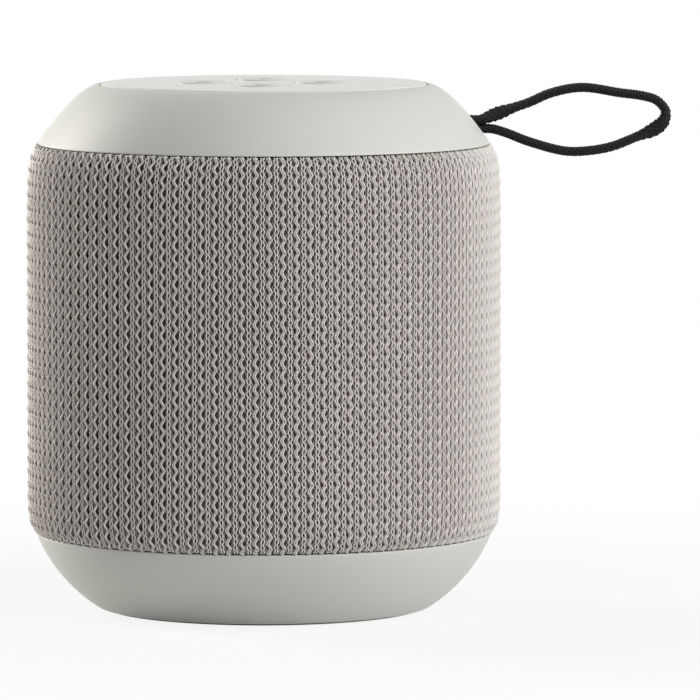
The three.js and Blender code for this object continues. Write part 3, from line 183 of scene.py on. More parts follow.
def make_world():
    """Plain white where it is seen and faint where it lights the object."""
    world = bpy.data.worlds.new("studio")
    bpy.context.scene.world = world
    world.use_nodes = True
    tree = world.node_tree
    tree.nodes.clear()
    room = tree.nodes.new("ShaderNodeBackground")
    room.inputs["Color"].default_value = (0.95, 0.97, 1, 1)
    room.inputs["Strength"].default_value = 0.06
    white = tree.nodes.new("ShaderNodeBackground")
    white.inputs["Color"].default_value = (1, 1, 1, 1)
    white.inputs["Strength"].default_value = 1
    end_in_mix(tree, "ShaderNodeOutputWorld", seen_directly(tree.nodes, tree.links), room, white)


FLOOR_REACH = 3
SHADOW_START = 0.06  # distance from the object's axis where the floor starts to fade
SHADOW_END = 0.22
SHADOW_WHITE = 0.86  # share of plain white near the object


def make_floor():
    """A pale floor that keeps a soft shadow near the object and turns into plain white further out."""
    mesh = bpy.data.meshes.new("floor")
    corners = [(x * FLOOR_REACH, y * FLOOR_REACH, 0) for x, y in ((-1, -1), (1, -1), (1, 1), (-1, 1))]
    mesh.from_pydata(corners, [], [(0, 1, 2, 3)])
    floor = add_object("floor", mesh)
    material = bpy.data.materials.new("floor_paper")
    material.use_nodes = True
    tree = material.node_tree
    nodes, links = tree.nodes, tree.links
    nodes.clear()
    paper = nodes.new("ShaderNodeBsdfDiffuse")
    paper.inputs["Color"].default_value = (0.8, 0.8, 0.79, 1)
    white = nodes.new("ShaderNodeEmission")
    white.inputs["Strength"].default_value = 1
    place = nodes.new("ShaderNodeNewGeometry")
    length = nodes.new("ShaderNodeVectorMath")
    length.operation = "LENGTH"
    links.new(place.outputs["Position"], length.inputs[0])
    fade = nodes.new("ShaderNodeMapRange")
    fade.interpolation_type = "SMOOTHSTEP"
    fade.inputs["From Min"].default_value = SHADOW_START
    fade.inputs["From Max"].default_value = SHADOW_END
    fade.inputs["To Min"].default_value = SHADOW_WHITE
    fade.inputs["To Max"].default_value = 1
    links.new(length.outputs["Value"], fade.inputs["Value"])
    share = nodes.new("ShaderNodeMath")
    share.operation = "MULTIPLY"
    links.new(fade.outputs[0], share.inputs[0])
    links.new(seen_directly(nodes, links), share.inputs[1])
    end_in_mix(tree, "ShaderNodeOutputMaterial", share.outputs[0], paper, white)
    mesh.materials.append(material)


make_world()
make_floor()

# ---- Materials ----


def finish(
    name,
    colour,
    roughness,
    metallic=0.0,
    shade=0.04,
    blotch=40,
    grain=2500,
    depth=0.02,
    spread=0.06,
    stretch=(1, 1, 1),
    sheen=0.0,
    coat=0.0,
    specular=0.5,
):
    """A surface whose colour drifts in broad blotches, with a fine grain in its bump and roughness."""
    material = bpy.data.materials.new(name)
    material.use_nodes = True
    nodes, links = material.node_tree.nodes, material.node_tree.links
    surface = nodes["Principled BSDF"]
    surface.inputs["Metallic"].default_value = metallic
    surface.inputs["Specular IOR Level"].default_value = specular
    surface.inputs["Sheen Weight"].default_value = sheen
    surface.inputs["Sheen Roughness"].default_value = 0.5
    surface.inputs["Coat Weight"].default_value = coat
    surface.inputs["Coat Roughness"].default_value = 0.15
    place = nodes.new("ShaderNodeTexCoord")
    mapping = nodes.new("ShaderNodeMapping")
    mapping.inputs["Scale"].default_value = stretch
    links.new(place.outputs["Object"], mapping.inputs["Vector"])
    noises = []
    for scale, detail in ((blotch, 3), (grain, 4)):
        noise = nodes.new("ShaderNodeTexNoise")
        noise.inputs["Scale"].default_value = scale
        noise.inputs["Detail"].default_value = detail
        links.new(mapping.outputs[0], noise.inputs["Vector"])
        noises.append(noise.outputs["Fac"])
    both = nodes.new("ShaderNodeMix")
    both.inputs["Factor"].default_value = 0.5
    links.new(noises[0], both.inputs["A"])
    links.new(noises[1], both.inputs["B"])
    tint = nodes.new("ShaderNodeMix")
    tint.data_type = "RGBA"
    base = linear(colour)
    tint.inputs["A"].default_value = (*(c * (1 - shade) for c in base[:3]), 1)
    tint.inputs["B"].default_value = (*(min(1, c * (1 + shade)) for c in base[:3]), 1)
    steep = nodes.new("ShaderNodeMapRange")
    steep.inputs["From Min"].default_value = 0.3
    steep.inputs["From Max"].default_value = 0.7
    links.new(both.outputs["Result"], steep.inputs["Value"])
    links.new(steep.outputs[0], tint.inputs["Factor"])
    links.new(tint.outputs["Result"], surface.inputs["Base Color"])
    rough = nodes.new("ShaderNodeMapRange")
    rough.inputs["To Min"].default_value = max(0.02, roughness - spread)
    rough.inputs["To Max"].default_value = min(1, roughness + spread)
    links.new(noises[1], rough.inputs["Value"])
    links.new(rough.outputs[0], surface.inputs["Roughness"])
    bump = nodes.new("ShaderNodeBump")
    bump.inputs["Strength"].default_value = 0.5
    bump.inputs["Distance"].default_value = depth * MM
    links.new(noises[1], bump.inputs["Height"])
    links.new(bump.outputs[0], surface.inputs["Normal"])
    return material


# Each finish has a colour and a roughness, and then what differs from the plain case
LOOKS = {
    "shell_plastic": ((206, 207, 201), 0.5, dict(shade=0.012, spread=0.05, depth=0.008)),
    # Painted light: the plate is the same plastic as the caps, coloured lighter because its top catches more
    # light.
    "plate_plastic": ((228, 229, 225), 0.6, dict(shade=0.012, spread=0.05, depth=0.006, specular=0.3)),
    "key_rubber": ((212, 213, 208), 0.5, dict(shade=0.015, grain=3500, depth=0.01)),
    "dark_plastic": ((38, 38, 42), 0.55, dict(shade=0.08, grain=3000)),
    "black_rubber": ((34, 34, 37), 0.72, dict(shade=0.1, grain=3500, depth=0.015)),
    "grey_rubber": ((139, 139, 135), 0.8, dict(shade=0.08, depth=0.03)),
    "steel": ((184, 186, 189), 0.3, dict(metallic=1, shade=0.06, grain=1500, depth=0.004, stretch=(1, 1, 6))),
    "dark_steel": ((85, 88, 92), 0.42, dict(metallic=1, shade=0.1, grain=1800, depth=0.01)),
    "magnet_metal": ((141, 144, 148), 0.26, dict(metallic=1, shade=0.05, grain=1200, depth=0.004)),
    "paper_cone": ((48, 48, 52), 0.85, dict(shade=0.15, grain=1400, depth=0.05, sheen=0.2)),
    "copper": ((184, 115, 72), 0.32, dict(metallic=1, shade=0.08, grain=900, depth=0.03, stretch=(1, 1, 9))),
    "spider_cloth": ((196, 154, 74), 0.85, dict(shade=0.15, grain=2600, depth=0.06, sheen=0.2)),
    "circuit_board": ((31, 90, 58), 0.4, dict(shade=0.15, blotch=160, depth=0.01, coat=0.4)),
    "chip_epoxy": ((26, 26, 28), 0.5, dict(shade=0.1, grain=3000, depth=0.01)),
    "can_aluminium": ((201, 203, 206), 0.35, dict(metallic=1, shade=0.05, stretch=(1, 8, 1), depth=0.006)),
    "cell_sleeve": ((47, 110, 168), 0.35, dict(shade=0.05, blotch=90, depth=0.008, coat=0.3)),
    "clear_plastic": ((232, 236, 236), 0.15, dict(shade=0.02, spread=0.04, depth=0.003)),
    "light_lens": ((244, 242, 230), 0.3, dict(shade=0.02, spread=0.04, depth=0.004)),
    "braid": ((25, 24, 29), 0.7, dict(shade=0.35, blotch=500, grain=6500, depth=0.05, specular=0.2)),
    "knit": ((217, 212, 207), 0.48, dict(shade=0.08, blotch=70, grain=7000, depth=0.05, stretch=(1, 1, 0.3))),
    "symbol": ((178, 179, 175), 0.55, dict(shade=0.03, depth=0.006)),
    # Painted shade: the inner yarns are coloured darker than the outer ones, to stand for the shade they lie
    # in.
    "knit_inner_painted_shade": ((186, 179, 173), 0.9, dict(shade=0.25, blotch=300, grain=5000, depth=0.06, specular=0.2)),
    # Partly painted shade: the cloth's inner face is coloured darker than its yarn, so the holes read darker
    # than their own shade makes them.
    "knit_back_painted_shade": ((126, 119, 114), 0.95, dict(shade=0.4, blotch=420, grain=2600, depth=0.12, specular=0.2)),
}
FINISHES = {name: finish(name, colour, rough, **more) for name, (colour, rough, more) in LOOKS.items()}

# ---- Mesh helpers ----


def piece(name, points, faces, material, body="base", slot=None, replaces=(), crease=35):
    """A named mesh from points in millimetres that rides on a body."""
    mesh = bpy.data.meshes.new(name)
    mesh.from_pydata([tuple(c * MM for c in p) for p in points], [], faces)
    mesh.validate()
    return dress(add_object(name, mesh), material, body, replaces, crease)


def dress(made, material, body="base", replaces=(), crease=35):
    """Gives a made object its shading, finish, body and CAD nodes."""
    mesh = made.data
    mesh.materials.clear()
    mesh.materials.append(FINISHES[material])
    mesh.shade_smooth()
    mesh.set_sharp_from_angle(angle=math.radians(crease))
    if body:
        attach(made, body)
    if replaces:
        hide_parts(*replaces)
    return made


def bezier(p0, p1, p2, p3, steps, first=0.0, last=1.0):
    points = []
    for t in np.linspace(first, last, steps + 1):
        k = ((1 - t) ** 3, 3 * t * (1 - t) ** 2, 3 * t * t * (1 - t), t**3)
        points.append(tuple(sum(w * p[i] for w, p in zip(k, (p0, p1, p2, p3))) for i in (0, 1)))
    return points


def rounded(before, corner, after, steps=4):
    """A smooth turn from one point to another that heads for the corner between them."""
    made = []
    for t in np.linspace(0, 1, steps + 1):
        k = ((1 - t) ** 2, 2 * t * (1 - t), t * t)
        made.append(tuple(sum(w * p[i] for w, p in zip(k, (before, corner, after))) for i in (0, 1)))
    return made


def outline(*corners, steps=4):
    """A profile from (x, y) corners or (x, y, radius) rounded ones, closed on itself."""
    points = []
    for i, corner in enumerate(corners):
        here = Vector(corner[:2])
        if len(corner) == 2 or corner[2] == 0:
            points.append(tuple(here))
            continue
        back = (Vector(corners[i - 1][:2]) - here).normalized() * corner[2]
        ahead = (Vector(corners[(i + 1) % len(corners)][:2]) - here).normalized() * corner[2]
        points += rounded(here + back, here, here + ahead, steps)
    return points


def offset(points, distance):
    """A profile moved to the left of its direction."""
    line = np.array(points)
    along = np.gradient(line, axis=0)
    along /= np.linalg.norm(along, axis=1)[:, None]
    moved = line + np.stack([-along[:, 1], along[:, 0]], axis=1) * distance
    return [tuple(p) for p in moved]


def circle(radius, z, segments, x=0.0, y=0.0):
    """The points of a level circle, anticlockwise."""
    turns = [TAU * k / segments for k in range(segments)]
    return [(x + radius * math.cos(a), y + radius * math.sin(a), z) for a in turns]


def turned(profile, segments=192):
    """Points and faces of a profile of radius and height turned about Z. Its ends may lie on the axis."""
    if sum(a[0] * b[1] - b[0] * a[1] for a, b in zip(profile, profile[1:] + profile[:1])) < 0:
        profile = profile[::-1]
    points, rings = [], []
    for r, z in profile:
        if r < 1e-9:
            rings.append([len(points)] * segments)
            points.append((0, 0, z))
            continue
        rings.append(list(range(len(points), len(points) + segments)))
        points += circle(r, z, segments)
    faces = []
    for i, ring in enumerate(rings):
        above = rings[(i + 1) % len(rings)]
        for k in range(segments):
            n = (k + 1) % segments
            corners = [ring[k], ring[n], above[n], above[k]]
            corners = [c for j, c in enumerate(corners) if c != corners[j - 1]]
            if len(corners) > 2:
                faces.append(corners)
    return points, faces


def stadium(width, height, corner, steps=8):
    """The points of a rounded rectangle round the origin, anticlockwise."""
    w, h = width / 2 - corner, height / 2 - corner
    points = []
    for turn, (x, y) in enumerate(((w, h), (-w, h), (-w, -h), (w, -h))):
        for t in np.linspace(0, math.pi / 2, steps + 1):
            a = turn * math.pi / 2 + t
            points.append((x + corner * math.cos(a), y + corner * math.sin(a)))
    return points


def lofted(rings):
    """Faces through rings of equally many points each, capped at both ends."""
    points = [p for ring in rings for p in ring]
    n = len(rings[0])
    faces = []
    for a in range(0, len(points) - n, n):
        faces += [[a + k, a + (k + 1) % n, a + n + (k + 1) % n, a + n + k] for k in range(n)]
    faces.append(list(range(n))[::-1])
    faces.append([len(points) - n + k for k in range(n)])
    return points, faces


def tool(points, faces):
    """A cutting tool that is removed after use."""
    mesh = bpy.data.meshes.new("tool")
    mesh.from_pydata([tuple(c * MM for c in p) for p in points], [], faces)
    return add_object("tool", mesh)


def cut(made, operation, *cutters):
    """Applies booleans to a piece, one cutter after another."""
    for cutter in cutters:
        modifier = made.modifiers.new("cut", "BOOLEAN")
        modifier.operation = operation
        modifier.solver = "EXACT"
        modifier.object = cutter
        settle(made)
        bpy.data.objects.remove(cutter)
    return made


def settle(made):
    """Applies a piece's modifiers to its mesh."""
    bpy.context.view_layer.update()
    result = bpy.data.meshes.new_from_object(made.evaluated_get(bpy.context.evaluated_depsgraph_get()))
    made.modifiers.clear()
    old, made.data = made.data, result
    result.name = old.name
    bpy.data.meshes.remove(old)


def bevel(made, width, segments=3, angle=35):
    """Rounds a piece's sharp edges."""
    modifier = made.modifiers.new("bevel", "BEVEL")
    modifier.width = width * MM
    modifier.segments = segments
    modifier.limit_method = "ANGLE"
    modifier.angle_limit = math.radians(angle)
    modifier.miter_outer = "MITER_ARC"
    settle(made)


def upright_rod(radius, x, y, low, high, segments=48):
    return lofted([circle(radius, z, segments, x, y) for z in (low, high)])


def block(low, high):
    x0, y0, z0 = low
    x1, y1, z1 = high
    return lofted([[(x0, y0, z), (x1, y0, z), (x1, y1, z), (x0, y1, z)] for z in (z0, z1)])


# ---- Strap: a flat tubular braid ----

SLOT_MOUTH = 39.76
STRAP_START = 34.4
STRAND_SPACING = 1.9
STRAP_WIDTH = 3.2
STRAP_THICKNESS = 1.85
STRAP_RUN = [
    (1.1, 0.95), (3, 1.65), (7.1, 3.1), (10, 4.05), (14.2, 5.8), (20, 6.8), (27.3, 5.75),
    (31.6, 5.15), (34.2, 4.3), (35.9, 2.3), (35.5, 0.4), (34, -0.95), (30, -2.65), (25.8, -4.25),
    (21.5, -5), (17, -5.05), (10, -3.2), (5.6, -1.5), (2.8, -0.75),
]
CARRIERS = 8  # yarns in each direction
BRAID_LEAD = 9.2  # length in which a yarn goes once round
BRAID_STEP = 0.2
YARN_WIDE = 0.36  # half the width of a yarn
YARN_HIGH = 0.25
WEAVE = 0.18  # how far a yarn rises over the next one and dips under it
YARN_CORNERS = 8
OVAL_POWER = 0.8  # less than 1 makes the section squarer
# The band twists near its tip and its root: degrees, place behind that point and spread
TIP_TWIST = (62, 3.2, 3.4)
ROOT_TWIST = (40, 3.2, 2.6)


def catmull(points, steps):
    """Points on the centripetal Catmull-Rom curve through the given ones."""
    p = np.array(points, float)
    p = np.vstack([2 * p[0] - p[1], p, 2 * p[-1] - p[-2]])
    made = []
    for i in range(1, len(p) - 2):
        q = p[i - 1 : i + 3]
        t = np.concatenate([[0], np.cumsum(np.sqrt(np.linalg.norm(np.diff(q, axis=0), axis=1)))])
        for u in np.linspace(t[1], t[2], steps, endpoint=False):
            a = [(q[k] * (t[k + 1] - u) + q[k + 1] * (u - t[k])) / (t[k + 1] - t[k]) for k in range(3)]
            b = [(a[k] * (t[k + 2] - u) + a[k + 1] * (u - t[k])) / (t[k + 2] - t[k]) for k in range(2)]
            made.append((b[0] * (t[2] - u) + b[1] * (u - t[1])) / (t[2] - t[1]))
    return np.array(made + [p[-2]])


def evenly(line, step):
    along = np.concatenate([[0], np.cumsum(np.linalg.norm(np.diff(line, axis=0), axis=1))])
    at = np.linspace(0, along[-1], int(math.ceil(along[-1] / step)) + 1)
    return np.stack([np.interp(at, along, line[:, k]) for k in range(line.shape[1])], axis=1), at


def strap_route():
    """The strap's centreline in millimetres, in the plane of reach and height."""
    half = STRAND_SPACING / 2
    inside = [STRAP_START, (STRAP_START + SLOT_MOUTH) / 2, SLOT_MOUTH - CAP_WALL / 2]
    rows = [(r, STRAP_Z + half) for r in inside]
    rows += [(SLOT_MOUTH + r, STRAP_Z + rise) for r, rise in STRAP_RUN]
    rows += [(r, STRAP_Z - half) for r in inside[::-1]]
    return evenly(catmull(rows, 24), BRAID_STEP)


def section_table(width, thickness, n=256):
    """Points round a flat oval, evenly spaced by length, for a share from 0 to 1 of its girth."""
    a = np.linspace(0, TAU, n + 1)
    x = np.sign(np.cos(a)) * np.abs(np.cos(a)) ** OVAL_POWER * width / 2
    y = np.sign(np.sin(a)) * np.abs(np.sin(a)) ** OVAL_POWER * thickness / 2
    along = np.concatenate([[0], np.cumsum(np.hypot(np.diff(x), np.diff(y)))])
    return along / along[-1], x, y


def tube_mesh(name, centres, sides, normals, wide, high, corners):
    """One mesh of open tubes with capped ends. Arrays are (tubes, steps, 3) and (tubes, steps)."""
    tubes, steps = centres.shape[:2]
    angle = TAU * (np.arange(corners) + 0.5) / corners
    c, s = np.cos(angle)[None, None, :, None], np.sin(angle)[None, None, :, None]
    points = centres[:, :, None] + sides[:, :, None] * (wide[:, :, None, None] * c)
    points = points + normals[:, :, None] * (high[:, :, None, None] * s)
    keep = np.ones((tubes, steps), bool)
    return tubes_from(name, points.reshape(tubes, steps, corners, 3), keep)


def tubes_from(name, points, keep):
    """A mesh of tubes from ring points (tubes, steps, corners, 3), broken where keep is False."""
    tubes, steps, corners = points.shape[:3]
    index = np.arange(tubes * steps * corners).reshape(tubes, steps, corners)
    turn = np.roll(index, -1, axis=2)
    joined = keep[:, :-1] & keep[:, 1:]
    quads = np.stack([index[:, :-1], index[:, 1:], turn[:, 1:], turn[:, :-1]], axis=-1)
    quads = quads[joined].reshape(-1, 4)
    before = np.zeros_like(keep)
    before[:, 1:] = joined
    after = np.zeros_like(keep)
    after[:, :-1] = joined
    starts = index[after & ~before]
    ends = index[before & ~after][:, ::-1]
    caps = np.concatenate([starts, ends])
    used = np.unique(quads)
    renumber = np.zeros(index.size, np.int64)
    renumber[used] = np.arange(len(used))
    co = points.reshape(-1, 3)[used]
    loops = renumber[np.concatenate([quads.ravel(), caps.ravel()])]
    firsts = np.concatenate([np.arange(len(quads)) * 4, len(quads) * 4 + np.arange(len(caps)) * corners])
    mesh = bpy.data.meshes.new(name)
    mesh.vertices.add(len(co))
    mesh.vertices.foreach_set("co", (co * MM).astype(np.float32).ravel())
    mesh.loops.add(len(loops))
    mesh.polygons.add(len(firsts))
    mesh.polygons.foreach_set("loop_start", firsts.astype(np.int32))
    mesh.loops.foreach_set("vertex_index", loops.astype(np.int32))
    mesh.update(calc_edges=True)
    return mesh


def strap_band(line, at):
    """The strap's centreline in space, with the directions of its width and its thickness."""
    ahead = np.gradient(line, axis=0)
    ahead /= np.linalg.norm(ahead, axis=1)[:, None]
    out = np.array([math.cos(STRAP_AZIMUTH), math.sin(STRAP_AZIMUTH), 0])
    up = np.array([0, 0, 1.0])
    side = np.array([-math.sin(STRAP_AZIMUTH), math.cos(STRAP_AZIMUTH), 0])
    centre = line[:, :1] * out + line[:, 1:] * up
    across = np.cross(ahead[:, :1] * out + ahead[:, 1:] * up, side)
    tip = at[int(np.argmax(line[:, 0]))]
    root = at[int(np.argmax(line[:, 0] > SLOT_MOUTH + 1))]
    turn = np.zeros(len(line))
    for start, (angle, behind, spread) in ((tip, TIP_TWIST), (root, ROOT_TWIST)):
        turn += math.radians(angle) * np.exp(-(((at - start - behind) / spread) ** 2))
    wide_way = side * np.cos(turn)[:, None] + across * np.sin(turn)[:, None]
    thin_way = across * np.cos(turn)[:, None] - side * np.sin(turn)[:, None]
    return centre, wide_way, thin_way


def make_strap():
    line, at = strap_route()
    centre, wide_way, thin_way = strap_band(line, at)
    inset = 2 * (YARN_HIGH + WEAVE)
    girth, gx, gy = section_table(STRAP_WIDTH - inset, STRAP_THICKNESS - inset)
    outer, ox, oy = section_table(STRAP_WIDTH - inset + 0.4, STRAP_THICKNESS - inset + 0.4)
    centres, sides, normals = [], [], []
    for way in (1, -1):
        for yarn in range(CARRIERS):
            share = (way * at / BRAID_LEAD + yarn / CARRIERS) % 1
            x, y = np.interp(share, girth, gx), np.interp(share, girth, gy)
            nx, ny = np.interp(share, outer, ox) - x, np.interp(share, outer, oy) - y
            length = np.hypot(nx, ny)
            nx, ny = nx / length, ny / length
            lift = way * WEAVE * np.cos(TAU * CARRIERS * at / BRAID_LEAD)
            x, y = x + nx * lift, y + ny * lift
            c = centre + wide_way * x[:, None] + thin_way * y[:, None]
            n = wide_way * nx[:, None] + thin_way * ny[:, None]
            t = np.gradient(c, axis=0)
            t /= np.linalg.norm(t, axis=1)[:, None]
            s = np.cross(n, t)
            s /= np.linalg.norm(s, axis=1)[:, None]
            centres.append(c)
            sides.append(s)
            normals.append(n)
    shape = (2 * CARRIERS, len(line))
    mesh = tube_mesh(
        "strap_braid",
        np.array(centres),
        np.array(sides),
        np.array(normals),
        np.full(shape, YARN_WIDE),
        np.full(shape, YARN_HIGH),
        YARN_CORNERS,
    )
    braid = dress(add_object("strap_braid", mesh), "braid", replaces=["strap"], crease=60)
    path = centre * MM
    length = float(np.linalg.norm(np.diff(path, axis=0), axis=1).sum())


make_strap()

# ---- Knitted sleeve ----

COLUMNS = 110
FIRST_COLUMN = 0.593  # of a pitch, from +X
LINK = 1.17  # height of one chain link
PITCH = TAU / COLUMNS
PITCH_WIDTH = PITCH * SLEEVE_RADIUS
CHAIN_LEVEL = 54.2  # height of a link that leans towards its right
ZIGZAG_LEVEL = 55.15  # height where the wandering yarns turn back from the right
STRAND = 0.15  # half the width of a yarn
STRAND_HIGH = 0.21  # half its thickness
CHAIN_STRAND_HIGH = 0.22
CHAIN_LEVEL_H = -0.38  # a yarn's height over the sleeve's outline
ZIGZAG_LEVEL_H = -0.30
PLY_LEVEL_H = -0.61
TIE_LEVEL_H = -0.66
BACKING_H = (-0.92, -1.06)
CHAIN_NECK = 0.14  # from a column's middle to its yarns where they meet
CHAIN_BULGE = 0.215  # how much further they are apart round a hole
CHAIN_LEAN = 0.03
SWING = 0.30  # how far the wandering yarn goes to each side
PLY_GAP = 0.13
PLY_GAP_AT_TURN = 0.07  # added where the yarn turns back
LOWER_PLY_SHIFT = 0.22
TIE_PLACE = 0.62  # from a column's middle to a tie yarn
TIE_SWING = 0.25
ZIGZAG_SHARPNESS = 0.93
PORT_GAP = 0.12  # between the cloth and the port's panel


def sleeve_table():
    """The sleeve's outline from the bottom up, its ends tucked in: length along, radius, height, normal."""
    r = SLEEVE_RADIUS
    low = bezier((r - 1.4, 14.5), (r - 0.42, 15.25), (r, 17.125), (r, 22.0), 60)
    high = bezier((r, 72.3), (r, 82.8), (r - 0.37, 84.34), (r - 1.85, 86.3), 60)
    tuck_low = bezier((r - 2.45, 14.75), (r - 2.2, 14.35), (r - 1.75, 14.25), (r - 1.4, 14.5), 10)
    tuck_high = bezier((r - 1.85, 86.3), (r - 2.05, 86.55), (r - 2.5, 86.5), (r - 2.75, 86.1), 10)
    line = np.array(tuck_low[:-1] + low + high + tuck_high[1:])
    even, at = evenly(line, 0.1)
    along = np.gradient(even, axis=0)
    along /= np.linalg.norm(along, axis=1)[:, None]
    return at, even[:, 0], even[:, 1], along[:, 1], -along[:, 0]


table_s, table_r, table_z, table_nr, table_nz = sleeve_table()
FABRIC_LENGTH = table_s[-1]


def on_sleeve(angle, s, h):
    """Points at an angle about Z, a length along the outline and a height over it."""
    r = np.interp(s, table_s, table_r) + h * np.interp(s, table_s, table_nr)
    z = np.interp(s, table_s, table_z) + h * np.interp(s, table_s, table_nz)
    return np.stack(np.broadcast_arrays(r * np.cos(angle), r * np.sin(angle), z), axis=-1)


def clear_of_port(points):
    """True where a point isn't behind the port's panel."""
    x, y, z = points[..., 0], points[..., 1], points[..., 2]
    dx = np.maximum(np.abs(x) - (BEZEL_WIDTH / 2 - BEZEL_CORNER), 0)
    dz = np.maximum(np.abs(z - PORT_Z) - (BEZEL_HEIGHT / 2 - BEZEL_CORNER), 0)
    return (y < 0) | (np.hypot(dx, dz) > BEZEL_CORNER + PORT_GAP)


def zigzag(phase):
    """A rounded triangle wave from -1 to 1, one turn per unit of phase."""
    return np.arcsin(ZIGZAG_SHARPNESS * np.sin(TAU * phase)) / math.asin(ZIGZAG_SHARPNESS)


def rows_from(s, level):
    """Chain links counted upwards from a height."""
    return (s - table_s[np.argmin(np.abs(table_z - level))]) / LINK


def chain_yarns(s, rng):
    """The two yarns of a chain column: sideways place, height, half width and half thickness."""
    row = rows_from(s, CHAIN_LEVEL) + 0.02 * rng.standard_normal()
    lean = np.cos(math.pi * row)  # 1 where the link leans right and -1 where it leans left
    made = []
    for side in (-1, 1):
        f = row + 0.5 - 0.10 * side * lean
        bulge = np.sin(math.pi * f) ** 2
        x = side * (CHAIN_NECK + (CHAIN_BULGE + CHAIN_LEAN * side * lean) * bulge) + CHAIN_LEAN * lean
        h = CHAIN_LEVEL_H + 0.07 * bulge - 0.03 * side * np.sin(math.pi * row)
        made.append((x, h, STRAND * (0.96 - 0.02 * bulge), np.full_like(s, CHAIN_STRAND_HIGH)))
    return made


def zigzag_yarns(s, rng):
    """The two upper plies of the yarn that wanders between two columns, the right one riding higher."""
    phase = (rows_from(s, ZIGZAG_LEVEL) + 0.02 * rng.standard_normal()) / 2 + 0.25
    wave = zigzag(phase)
    slope = np.cos(TAU * phase)
    turn = np.abs(np.sin(TAU * phase)) ** 4
    made = []
    for side in (-1, 1):
        x = SWING * wave + side * (PLY_GAP + PLY_GAP_AT_TURN * turn)
        h = ZIGZAG_LEVEL_H + 0.06 * side - 0.05 * np.tanh(2.5 * slope) - 0.09 * wave
        made.append((x, h, STRAND * (1.1 - 0.10 * turn), np.full_like(s, STRAND_HIGH)))
    return made


def inner_yarns(s, rng):
    """The yarns behind a chain column that tie it to both sides, and the lower ply of the wandering one."""
    phase = rows_from(s, ZIGZAG_LEVEL) / 2 + 0.25
    lower = PITCH_WIDTH / 2 - LOWER_PLY_SHIFT + SWING * zigzag(phase)
    made = [(lower, *(np.full_like(s, value) for value in (PLY_LEVEL_H, 0.23, 0.16)))]
    for side in (-1, 1):
        phase = (rows_from(s, ZIGZAG_LEVEL) + 0.08 * rng.standard_normal()) / 2
        swing = np.sin(TAU * (-phase - 0.19 - (0.5 if side < 0 else 0)))
        x = side * (TIE_PLACE + TIE_SWING * swing)
        made.append((x, *(np.full_like(s, value) for value in (TIE_LEVEL_H, 0.18, 0.12))))
    return made


def knit_points(angle, x, s, h, a, b, corners):
    """Ring points of yarns given in the sleeve's own surface."""
    slope = np.gradient(x, axis=1) / np.gradient(s)[None]
    lean = 1 / np.sqrt(1 + slope**2)
    turn = TAU * (np.arange(corners) + 0.5) / corners
    c, n = np.cos(turn)[None, None], np.sin(turn)[None, None]
    X = x[..., None] + (a * lean)[..., None] * c
    S = s[None, :, None] - (a * lean * slope)[..., None] * c
    H = h[..., None] + b[..., None] * n
    return on_sleeve(angle[:, None, None] + X / SLEEVE_RADIUS, np.clip(S, 0, FABRIC_LENGTH), H)


def cylinder_map(mesh, first, width):
    """A map named OFBake that unrolls a sector of the knit."""
    co = np.zeros(len(mesh.vertices) * 3, np.float32)
    mesh.vertices.foreach_get("co", co)
    co = co.reshape(-1, 3)
    vertex = np.zeros(len(mesh.loops), np.int32)
    mesh.loops.foreach_get("vertex_index", vertex)
    angle = (np.arctan2(co[:, 1], co[:, 0]) - first) % TAU
    angle = np.where(angle > math.pi, angle - TAU, angle)
    u = 0.02 + 0.96 * np.clip(angle / (1.1 * width) + 0.05, 0, 1)
    v = 0.02 + 0.96 * (co[:, 2] - co[:, 2].min()) / np.ptp(co[:, 2])
    layer = mesh.uv_layers.new(name="OFBake")
    layer.data.foreach_set("uv", np.stack([u, v], axis=1)[vertex].astype(np.float32).ravel())


def make_yarns(name, sectors, makers, material):
    """The knit's yarns in sectors. A maker goes with its shift in pitches, steps in a link and corners."""
    count = COLUMNS // sectors
    links = int(FABRIC_LENGTH / LINK) + 1
    rng = np.random.default_rng(7)
    pieces = []
    for sector in range(sectors):
        join = bmesh.new()
        for maker, shift, steps, corners in makers:
            s = np.linspace(0, FABRIC_LENGTH, links * steps + 1)
            yarns = [
                ((column + FIRST_COLUMN + shift) * PITCH, *yarn)
                for column in range(sector * count, (sector + 1) * count)
                for yarn in maker(s, rng)
            ]
            angle, x, h, a, b = (np.array(values) for values in zip(*yarns))
            points = knit_points(angle, x, s, h, a, b, corners)
            part = tubes_from("knit", points, clear_of_port(points).all(axis=2))
            join.from_mesh(part)
            bpy.data.meshes.remove(part)
        mesh = bpy.data.meshes.new(f"{name}_{sector + 1:02d}")
        join.to_mesh(mesh)
        join.free()
        cylinder_map(mesh, (sector * count + FIRST_COLUMN - 0.5) * PITCH, count * PITCH)
        made = add_object(mesh.name, mesh)
        dress(made, material, replaces=["fabric_sleeve"], crease=180)
        pieces.append(made)
    return pieces


